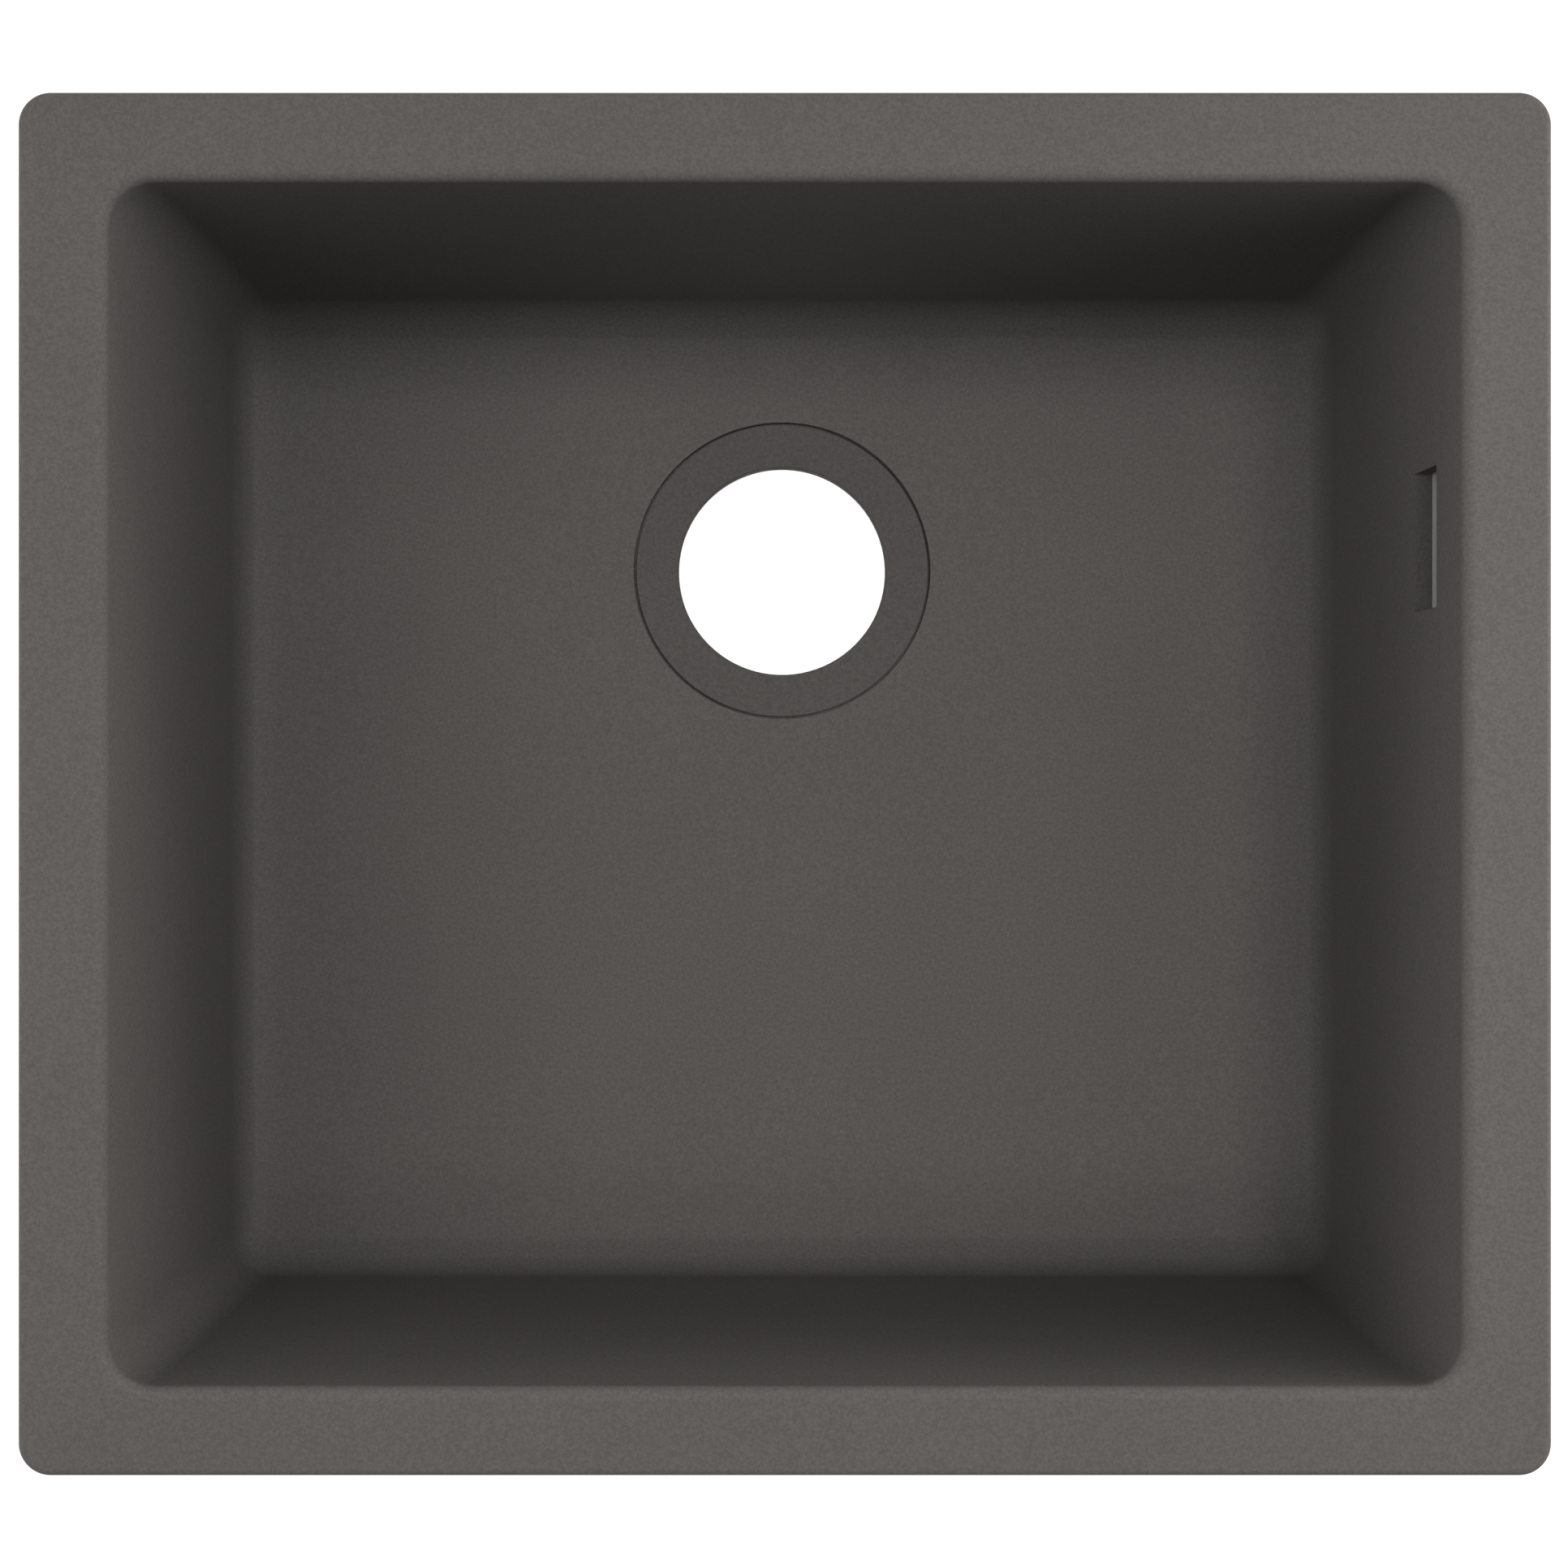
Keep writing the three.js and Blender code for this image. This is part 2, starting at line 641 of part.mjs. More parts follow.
function addHangers() {
  for (const { name, end, turn, pivot } of hangerPlaces()) {
    const hanger = new THREE.Group();
    hanger.position.set(pivot.x, pivot.y, bossUnderZ);
    hanger.rotation.z = radians(turn);
    sink.add(hanger);

    const insert = turned(tubeOutline(threadRadius + boreGap, insertRadius, 0, insertLength));
    addPiece(`hanger_insert_${name}`, insert, materials.brass, hanger);
    const arm = addPiece(`hanger_arm_${name}`, armGeometry(), materials.stainless, hanger);
    arm.position.z = armTopZ - bossUnderZ;
    arm.rotation.z = radians(-90 * end);
    const washer = addPiece(`hanger_washer_${name}`, waveWasherGeometry(), materials.springSteel, hanger);
    washer.position.z = washerTopZ - bossUnderZ;
    addPiece(`hanger_screw_${name}`, shoulderScrew(), materials.zincPlated, hanger);
  }
}

addBowl();
addOverflowHousing();
addOverflowGasket();
addOverflowFasteners();
addHangers();

export default sink;
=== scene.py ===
"""Looks of an undermount kitchen sink: a stone-composite bowl, its overflow fitting and its hangers.

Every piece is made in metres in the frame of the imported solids, +Z up, +X to the right and +Y to the
back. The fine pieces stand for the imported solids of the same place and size.
"""

import json
import logging
import math
from collections.abc import Iterable, Sequence
from dataclasses import dataclass, field, replace
from enum import Enum

import bmesh
import bpy
from mathutils import Matrix, Vector


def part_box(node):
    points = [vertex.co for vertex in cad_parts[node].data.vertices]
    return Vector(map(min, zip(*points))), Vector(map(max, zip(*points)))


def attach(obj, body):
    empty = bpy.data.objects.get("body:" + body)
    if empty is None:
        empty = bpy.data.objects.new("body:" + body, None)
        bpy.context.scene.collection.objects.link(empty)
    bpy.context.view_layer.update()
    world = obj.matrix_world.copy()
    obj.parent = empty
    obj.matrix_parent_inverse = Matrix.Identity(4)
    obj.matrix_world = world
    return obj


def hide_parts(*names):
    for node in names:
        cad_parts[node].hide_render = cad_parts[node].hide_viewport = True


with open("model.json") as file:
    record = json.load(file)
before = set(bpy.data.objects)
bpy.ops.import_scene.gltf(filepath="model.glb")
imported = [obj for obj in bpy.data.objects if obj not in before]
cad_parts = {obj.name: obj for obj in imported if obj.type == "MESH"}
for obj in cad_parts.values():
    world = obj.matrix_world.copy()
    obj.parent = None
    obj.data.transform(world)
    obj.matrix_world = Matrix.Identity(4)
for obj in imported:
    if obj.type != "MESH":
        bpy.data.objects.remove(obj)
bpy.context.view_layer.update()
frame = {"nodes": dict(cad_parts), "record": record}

MM = 0.001
FRAME_PIXELS = 1932
SINK = "sink"  # the fixed body; each hanger arm has a body of its own
SHARP_ANGLE = math.radians(32)  # edges sharper than this are shaded sharp
SOFT_ANGLE = math.radians(40)  # edges sharper than this are rounded
GAP = 0.3 * MM  # between pieces that seat on each other, and round an insert or a screw
OVER = 1 * MM  # how far a tool runs on past the face that it joins or cuts
FULL_ROUND = 0.999  # share of a bar's half width that a round end takes, so that no edge is lost
WHITE = (1.0, 1.0, 1.0, 1.0)
log = logging.getLogger("sink")

Colour = tuple[float, float, float]
Size = tuple[float, float]
Outline = Sequence[tuple[float, float]]
Mesh = bmesh.types.BMesh
Socket = bpy.types.NodeSocket
Material = bpy.types.Material
Piece = bpy.types.Object


def from_srgb(red: int, green: int, blue: int) -> Colour:
    """Turns an 8-bit display colour into scene-linear values."""
    levels = (red / 255, green / 255, blue / 255)
    return tuple(v / 12.92 if v <= 0.04045 else ((v + 0.055) / 1.055) ** 2.4 for v in levels)


class Join(Enum):
    """How one solid is put together with another."""

    ADD = "UNION"
    CUT = "DIFFERENCE"
    KEEP = "INTERSECT"


class Side(Enum):
    """A side of the sink, with the turn in degrees that brings +Y to face outwards there."""

    RIGHT = -90
    BACK = 0
    LEFT = 90
    FRONT = 180


class Streaks(Enum):
    """Which way a metal's streaks run: the scale of its pattern on each axis, least along them."""

    ALONG_X = (0.12, 1.0, 1.0)
    ALONG_Y = (1.0, 0.12, 1.0)
    ROUND_Z = (0.3, 0.3, 1.0)
    NONE = (1.0, 1.0, 1.0)


# ---- Finishes ----


class NodeBoard:
    """A node tree, with short calls that place nodes and fill their inputs."""

    def __init__(self, owner: bpy.types.ID) -> None:
        """Starts on the node tree of a material or a world."""
        owner.use_nodes = True
        self.tree = owner.node_tree

    def fill(self, node: bpy.types.Node, *values: object, **settings: object) -> bpy.types.Node:
        """Sets a node's properties and inputs. A socket is linked, and any other value is set.

        Args:
            node: The node.
            values: What its first inputs get, in order.
            settings: Node properties, or inputs under the input's name in lower case.

        Returns:
            The same node.
        """
        named = {socket.name.lower().replace(" ", "_"): socket for socket in list(node.inputs)[::-1]}
        pairs = list(zip(node.inputs, values))
        for key, value in settings.items():
            if hasattr(node, key) and not isinstance(value, Socket):
                setattr(node, key, value)
            else:
                pairs.append((named[key], value))
        for target, value in pairs:
            if isinstance(value, Socket):
                self.tree.links.new(value, target)
            else:
                target.default_value = value
        return node

    def add(self, kind: str, *values: object, **settings: object) -> bpy.types.Node:
        """Adds a node by Blender's name of its type, and fills it."""
        return self.fill(self.tree.nodes.new(kind), *values, **settings)

    def calculate(self, operation: str, *values: object) -> Socket:
        """Adds one step of arithmetic, by Blender's name of the operation."""
        return self.add("ShaderNodeMath", *values, operation=operation).outputs[0]


class ShaderBoard(NodeBoard):
    """A new material, with short calls for its patterns."""

    def __init__(self, name: str) -> None:
        """Starts the material with its output and its main shader."""
        self.material = bpy.data.materials.new(name)
        super().__init__(self.material)
        self.shader = self.tree.nodes["Principled BSDF"]
        self.place = self.add("ShaderNodeTexCoord").outputs["Object"]

    def moved(self, shift: Sequence[float], scale: Sequence[float]) -> Socket:
        """The piece's own coordinates, scaled and then shifted."""
        return self.add("ShaderNodeMapping", self.place, shift, scale=scale).outputs[0]

    def noise(self, size: float, detail: float = 2.0, roughness: float = 0.5,
              place: Socket | None = None) -> Socket:
        """Adds a noise pattern, with a value of about 0.5 on average.

        Args:
            size: Rough size of a grain, in metres.
            detail: Octaves of finer noise.
            roughness: Share of the finer noise.
            place: Coordinates to read, or None for the piece's own.

        Returns:
            The pattern's value.
        """
        node = self.add("ShaderNodeTexNoise", place or self.place, scale=1 / size, detail=detail,
                        roughness=roughness)
        return node.outputs[0]

    def ramp(self, value: Socket, *stops: tuple[float, Colour]) -> Socket:
        """Turns a value into a colour.

        Args:
            value: The pattern to read.
            stops: Position and colour pairs, in rising order.

        Returns:
            The colour.
        """
        node = self.add("ShaderNodeValToRGB", value)
        elements = node.color_ramp.elements
        while len(elements) < len(stops):
            elements.new(0.5)
        for element, (position, colour) in zip(elements, stops):
            element.position = position
            element.color = (*colour, 1.0)
        return node.outputs[0]

    def range(self, value: Socket, low: float, high: float, start: float = 0.3, end: float = 0.7) -> Socket:
        """Spreads a value over a range: low at the start value, high at the end value."""
        return self.add("ShaderNodeMapRange", value, from_min=start, from_max=end, to_min=low,
                        to_max=high).outputs[0]

    def bump(self, value: Socket, height: float, share: float) -> Socket:
        """Adds a relief of a height in metres, of which a share from 0 to 1 shows."""
        return self.add("ShaderNodeBump", height=value, distance=height, strength=share).outputs[0]

    def finish(self, **inputs: object) -> Material:
        """Fills the main shader and gives the material."""
        self.fill(self.shader, **inputs)
        return self.material


def shaded(colour: Colour, factor: float) -> Colour:
    """A colour made lighter or darker by a factor."""
    return tuple(channel * factor for channel in colour)


@dataclass(frozen=True)
class StoneComposite:
    """Matt moulded composite of quartz grains in resin. Roughness goes with low and high grain."""

    base: Colour = from_srgb(103, 100, 97)
    mottle: float = 1.2 * MM
    mottle_contrast: float = 0.11
    mottle_band: tuple[float, float] = (0.34, 0.66)
    grain: float = 0.5 * MM
    grain_contrast: float = 0.09
    fleck: float = 1.0 * MM
    fleck_reach: float = 0.35
    fleck_contrast: float = 0.20
    cloud: float = 60 * MM
    cloud_contrast: float = 0.02
    roughness: tuple[float, float] = (0.73, 0.63)
    gloss: float = 0.03
    relief: float = 0.04 * MM
    relief_grain: float = 0.4 * MM
    relief_share: float = 0.45
    # Painted shade: inside the strainer's seat circle the colour is darkened by seat_shade.
    seat_centre: tuple[float, float] = (0.0, 86 * MM)
    seat_radius: float = 57.5 * MM
    seat_blend: float = 0.5 * MM
    seat_shade: float = 0.84

    def seat_tone(self, board: ShaderBoard) -> Socket:
        """Paints shade on the strainer's recessed seat: darkens its colour by a factor fitted to how dark it
        looks.

        Args:
            board: The material's nodes.

        Returns:
            The factor, less than 1 inside the seat's circle.
        """
        centre_x, centre_y = self.seat_centre
        flat = board.moved((-centre_x, -centre_y, 0.0), (1.0, 1.0, 0.0))
        distance = board.add("ShaderNodeVectorMath", flat, operation="LENGTH").outputs["Value"]
        return board.range(distance, self.seat_shade, 1.0, self.seat_radius - self.seat_blend,
                           self.seat_radius + self.seat_blend)

    def build(self, name: str) -> Material:
        """Makes the material.

        Args:
            name: Name of the material.

        Returns:
            The material.
        """
        board = ShaderBoard(name)
        low, high = self.mottle_band
        ground = board.ramp(board.noise(self.mottle), (low, shaded(self.base, 1 - self.mottle_contrast)),
                            (high, shaded(self.base, 1 + self.mottle_contrast)))
        cells = board.add("ShaderNodeTexVoronoi", board.place, scale=1 / self.fleck)
        flecks = board.range(cells.outputs["Distance"], 1.0, 0.0, 0.0, self.fleck_reach)
        tint = board.ramp(cells.outputs["Color"], (0.0, shaded(self.base, 1 - self.fleck_contrast)),
                          (0.5, self.base), (1.0, shaded(self.base, 1 + self.fleck_contrast)))
        speckled = board.add("ShaderNodeMix", flecks, data_type="RGBA")
        for colour, target in ((ground, speckled.inputs[6]), (tint, speckled.inputs[7])):
            board.tree.links.new(colour, target)
        grain = board.noise(self.grain, detail=1.5, roughness=0.6)
        cloud = board.noise(self.cloud)
        colour = speckled.outputs[2]
        # Grain and cloud vary the colour at random; the last factor is the seat's painted shade.
        for factor in (board.range(grain, 1 - self.grain_contrast, 1 + self.grain_contrast),
                       board.range(cloud, 1 - self.cloud_contrast, 1 + self.cloud_contrast),
                       self.seat_tone(board)):
            colour = board.add("ShaderNodeVectorMath", colour, operation="SCALE", scale=factor).outputs[0]
        relief = board.noise(self.relief_grain, detail=3.0)
        return board.finish(base_color=colour, roughness=board.range(grain, *self.roughness),
                            normal=board.bump(relief, self.relief, self.relief_share),
                            specular_ior_level=self.gloss)


@dataclass(frozen=True)
class Patterned:
    """A finish drawn by one fine pattern. A pair gives what its low and its high values show.

    A cloud is a wider pattern that carries the colours instead.
    """

    colours: tuple[Colour, Colour]
    roughness: tuple[float, float] | float
    grain: float
    streaks: Streaks | None = None
    band: tuple[float, float] = (0.3, 0.7)
    detail: float = 3.0
    fineness: float = 0.6
    cloud: float | None = None
    relief: float = 0.006 * MM
    relief_share: float = 0.3
    metallic: float = 0.0

    def build(self, name: str) -> Material:
        """Makes the material.

        Args:
            name: Name of the material.

        Returns:
            The material.
        """
        board = ShaderBoard(name)
        place = board.place if self.streaks is None else board.moved((0.0, 0.0, 0.0), self.streaks.value)
        pattern = board.noise(self.grain, self.detail, self.fineness, place)
        tint = pattern if self.cloud is None else board.noise(self.cloud)
        rough = self.roughness
        if isinstance(rough, tuple):
            rough = board.range(pattern, *rough)
        return board.finish(
            base_color=board.ramp(tint, *zip(self.band, self.colours)), roughness=rough,
            normal=board.bump(pattern, self.relief, self.relief_share), metallic=self.metallic)


PLASTIC_GREY = from_srgb(181, 179, 174)
RUBBER_BLACK = from_srgb(29, 29, 31)
PLATED = Patterned((from_srgb(166, 170, 172), from_srgb(204, 206, 205)), (0.34, 0.21), 0.8 * MM,
                   Streaks.NONE, metallic=1.0)


class Palette:
    """One material for each slot of the record and run of streaks, made when first asked for."""

    FINISHES: dict[str, StoneComposite | Patterned] = {
        "composite": StoneComposite(),
        "grey_plastic": Patterned(
            (shaded(PLASTIC_GREY, 0.94), PLASTIC_GREY), (0.37, 0.49), 0.35 * MM, band=(0.35, 0.65),
            detail=2.0, fineness=0.5, cloud=9 * MM, relief=0.02 * MM, relief_share=0.35),
        "rubber": Patterned(
            (RUBBER_BLACK, shaded(RUBBER_BLACK, 1.9)), 0.85, 0.5 * MM, band=(0.35, 0.75), fineness=0.7,
            relief=0.08 * MM, relief_share=0.6),
        "zinc_plated_steel": PLATED,
        "brass": replace(PLATED, colours=(from_srgb(168, 130, 66), from_srgb(206, 170, 98)),
                         roughness=(0.38, 0.25), grain=0.2 * MM, streaks=Streaks.ROUND_Z),
        "stainless_steel": replace(PLATED, colours=(from_srgb(158, 160, 163), from_srgb(196, 198, 200)),
                                   roughness=(0.38, 0.25), grain=0.22 * MM, streaks=Streaks.ALONG_X),
        "spring_steel": replace(PLATED, colours=(from_srgb(98, 100, 106), from_srgb(138, 140, 144)),
                                roughness=(0.44, 0.31), grain=0.3 * MM),
    }

    def __init__(self) -> None:
        """Starts with no material made."""
        self.made: dict[str, Material] = {}

    def get(self, slot: str, streaks: Streaks | None = None) -> Material:
        """The material of a slot.

        Args:
            slot: The record's material slot.
            streaks: Which way its streaks run, or None for the finish's own way.

        Returns:
            The slot's material.
        """
        name = slot if streaks is None else f"{slot}_{streaks.name.lower()}"
        if name not in self.made:
            finish = self.FINISHES[slot]
            if streaks is not None:
                finish = replace(finish, streaks=streaks)
            self.made[name] = finish.build(name)
        return self.made[name]


# ---- Mesh work ----


def settled(mesh: Mesh) -> Mesh:
    """Merges doubles and turns every face outwards.

    Args:
        mesh: A closed shape.

    Returns:
        The same shape.
    """
    bmesh.ops.remove_doubles(mesh, verts=mesh.verts, dist=0.0005 * MM)
    bmesh.ops.recalc_face_normals(mesh, faces=mesh.faces)
    return mesh


def spun(outline: Outline, steps: int = 64) -> Mesh:
    """Spins an outline round Z.

    Args:
        outline: Radius and height pairs, from pole to pole or back to the first pair.
        steps: Steps in the full turn.

    Returns:
        The closed shape.
    """
    mesh = bmesh.new()
    points = [mesh.verts.new((radius, 0.0, height)) for radius, height in outline]
    rim = [mesh.edges.new(pair) for pair in zip(points, points[1:])]
    bmesh.ops.spin(mesh, geom=points + rim, cent=(0, 0, 0), axis=(0, 0, 1), dvec=(0, 0, 0),
                   angle=math.tau, steps=steps, use_merge=True)
    return settled(mesh)


def rod(radius: float, low: float, high: float, steps: int = 64) -> Mesh:
    """A plain rod round Z, between two heights."""
    return spun([(0.0, low), (radius, low), (radius, high), (0.0, high)], steps)


def rounded_bar(size: Size, corner: float, depth: float, segments: int = 8) -> Mesh:
    """A bar with round upright corners, from z = 0 up to its depth, centred on Z.

    Args:
        size: Full sizes along X and Y.
        corner: Radius of the upright corners.
        depth: Height along Z.
        segments: Steps in each corner.

    Returns:
        The closed shape.
    """
    mesh = bmesh.new()
    grid = bmesh.ops.create_grid(mesh, x_segments=1, y_segments=1, size=0.5)
    bmesh.ops.scale(mesh, vec=(*size, 1.0), verts=grid["verts"])
    bmesh.ops.bevel(mesh, geom=grid["verts"], offset=corner, offset_type="OFFSET", affect="VERTICES",
                    segments=segments, profile=0.5, material=-1)
    raised = bmesh.ops.extrude_face_region(mesh, geom=list(mesh.faces), use_keep_orig=True)
    moved = [part for part in raised["geom"] if isinstance(part, bmesh.types.BMVert)]
    bmesh.ops.translate(mesh, vec=(0, 0, depth), verts=moved)
    return settled(mesh)


def quarter_arc(radius: float, steps: int) -> list[tuple[float, float]]:
    """Points of a quarter arc that leaves one line and ends on another, square to it.

    Args:
        radius: Radius of the arc.
        steps: Steps in the arc.

    Returns:
        For each point, what is left to the second line and what is gone from the first.
    """
    angles = [math.radians(90) * step / steps for step in range(steps + 1)]
    return [(radius * (1 - math.sin(angle)), radius * (1 - math.cos(angle))) for angle in angles]


def grown(size: Size, margin: float) -> Size:
    """A pair of sizes with a margin added on every side."""
    return size[0] + 2 * margin, size[1] + 2 * margin


def placed(mesh: Mesh, matrix: Matrix) -> Mesh:
    """Moves a mesh by a matrix and gives it back."""
    bmesh.ops.transform(mesh, matrix=matrix, verts=mesh.verts)
    return mesh


def in_scene(name: str, data: bpy.types.ID) -> Piece:
    """Makes an object of a mesh, a lamp or a camera, and puts it in the scene at the origin."""
    bpy.context.scene.collection.objects.link(thing := bpy.data.objects.new(name, data))
    return thing


def as_object(name: str, mesh: Mesh) -> Piece:
    """Makes an object at the origin from a mesh.

    Args:
        name: Name of the object.
        mesh: Its shape, which is used up.

    Returns:
        The object, in the scene.
    """
    data = bpy.data.meshes.new(name)
    mesh.to_mesh(data)
    mesh.free()
    return in_scene(name, data)


def bake_modifiers(piece: Piece) -> None:
    """Turns a piece's modifiers into its mesh.

    Args:
        piece: The piece.
    """
    bpy.context.view_layer.update()
    seen = piece.evaluated_get(bpy.context.evaluated_depsgraph_get())
    data = bpy.data.meshes.new_from_object(seen)
    piece.modifiers.clear()
    old, piece.data = piece.data, data
    bpy.data.meshes.remove(old)
    data.name = piece.name


def combine(piece: Piece, how: Join, tools: Iterable[Mesh]) -> None:
    """Puts tools together with a piece.

    Args:
        piece: The piece to change.
        how: Whether the tools are added, cut away or kept in common.
        tools: The closed shapes, which are used up.
    """
    helpers = [as_object(f"{piece.name}_tool", tool) for tool in tools]
    for helper in helpers:
        step = piece.modifiers.new("join", "BOOLEAN")
        step.operation = how.value
        step.solver = "EXACT"
        step.object = helper
    bake_modifiers(piece)
    for helper in helpers:
        data = helper.data
        bpy.data.objects.remove(helper)
        bpy.data.meshes.remove(data)


def soften(piece: Piece, width: float) -> None:
    """Rounds the sharp edges of a piece.

    Args:
        piece: The piece to change.
        width: Width of the rounding.
    """
    step = piece.modifiers.new("soften", "BEVEL")
    step.width = width
    step.segments = 2
    step.limit_method = "ANGLE"
    step.angle_limit = SOFT_ANGLE
    step.harden_normals = False
    bake_modifiers(piece)


@dataclass
class Assembly:
    """A sub-assembly, which dresses its pieces from one palette."""

    palette: Palette

    def dress(self, piece: Piece, slot: str, stands_for: str, body: str = SINK,
              streaks: Streaks | None = None) -> None:
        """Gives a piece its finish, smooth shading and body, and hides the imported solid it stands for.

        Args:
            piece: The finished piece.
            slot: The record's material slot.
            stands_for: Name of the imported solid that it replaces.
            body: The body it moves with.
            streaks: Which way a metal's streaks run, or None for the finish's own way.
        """
        piece.data.materials.clear()
        piece.data.materials.append(self.palette.get(slot, streaks))
        piece.data.polygons.foreach_set("use_smooth", [True] * len(piece.data.polygons))
        piece.data.set_sharp_from_angle(angle=SHARP_ANGLE)
        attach(piece, body)
        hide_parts(stands_for)
        log.info("%s: %d faces, on %s, in %s", piece.name, len(piece.data.polygons), body, slot)

    def dress_node(self, node: str, slot: str) -> None:
        """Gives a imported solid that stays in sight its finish.

        Args:
            node: The solid's name.
            slot: The record's material slot.
        """
        piece = frame["nodes"][node]
        piece.data.materials.clear()
        piece.data.materials.append(self.palette.get(slot))
        log.info("%s: packed solid in %s", node, slot)


# ---- Bowl ----


@dataclass(frozen=True)
class Level:
    """One ring of the bowl: a rounded rectangle, or a circle round the drain."""

    height: float
    half_x: float
    half_y: float
    corner: float
    round_drain: bool = False


@dataclass
class OverflowPlaces:
    """Places and sizes shared by the bowl's wall and the overflow fitting."""

    slot_offset: float = 84 * MM
    slot_size: Size = (48 * MM, 26 * MM)
    slot_middle: float = 156 * MM
    slot_corner: float = 1 * MM
    gasket_corner: float = 6.6 * MM
    plate_corner: float = 6 * MM
    screw_radius: float = 2 * MM
    insert_radius: float = 3 * MM
    insert_length: float = 7 * MM

    def __post_init__(self) -> None:
        """Reads the pocket, the land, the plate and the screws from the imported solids."""
        gasket_low, gasket_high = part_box("overflow_gasket")
        insert_low, insert_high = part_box("overflow_insert_back")
        housing_low, housing_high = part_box("overflow_housing")
        self.pocket_x = gasket_low[0] - GAP
        self.land_x = insert_high[0]
        self.gasket_size = (gasket_high[1] - gasket_low[1], gasket_high[2] - gasket_low[2])
        self.screw_spread = (insert_low[1] + insert_high[1]) / 2 - self.slot_offset
        self.plate_size = (housing_high[1] - housing_low[1], 2 * (housing_high[2] - self.slot_middle))

    def at(self, x: float, across: float = 0.0, z: float | None = None) -> Matrix:
        """A place behind the right wall, where what is drawn across X and Y grows along +X.

        Args:
            x: Where it starts along X.
            across: How far it lies towards the back from the slot's middle.
            z: Its height, or None for the slot's middle.

        Returns:
            The place.
        """
        turn = Matrix(((0, 0, 1, 0), (1, 0, 0, 0), (0, 1, 0, 0), (0, 0, 0, 1)))
        height = self.slot_middle if z is None else z
        return Matrix.Translation((x, self.slot_offset + across, height)) @ turn

    def bar(self, size: Size, corner: float, start: float, end: float, middle: float | None = None,
            segments: int = 8) -> Mesh:
        """A rounded bar along X, behind the slot, whose size is given along Y and Z."""
        return placed(rounded_bar(size, corner, end - start, segments), self.at(start, z=middle))

    def screw_rods(self, radius: float, start: float, end: float) -> list[Mesh]:
        """A rod along X on the axis of each of the two screws."""
        return [placed(rod(radius, 0.0, end - start, 32), self.at(start, side * self.screw_spread))
                for side in (-1, 1)]


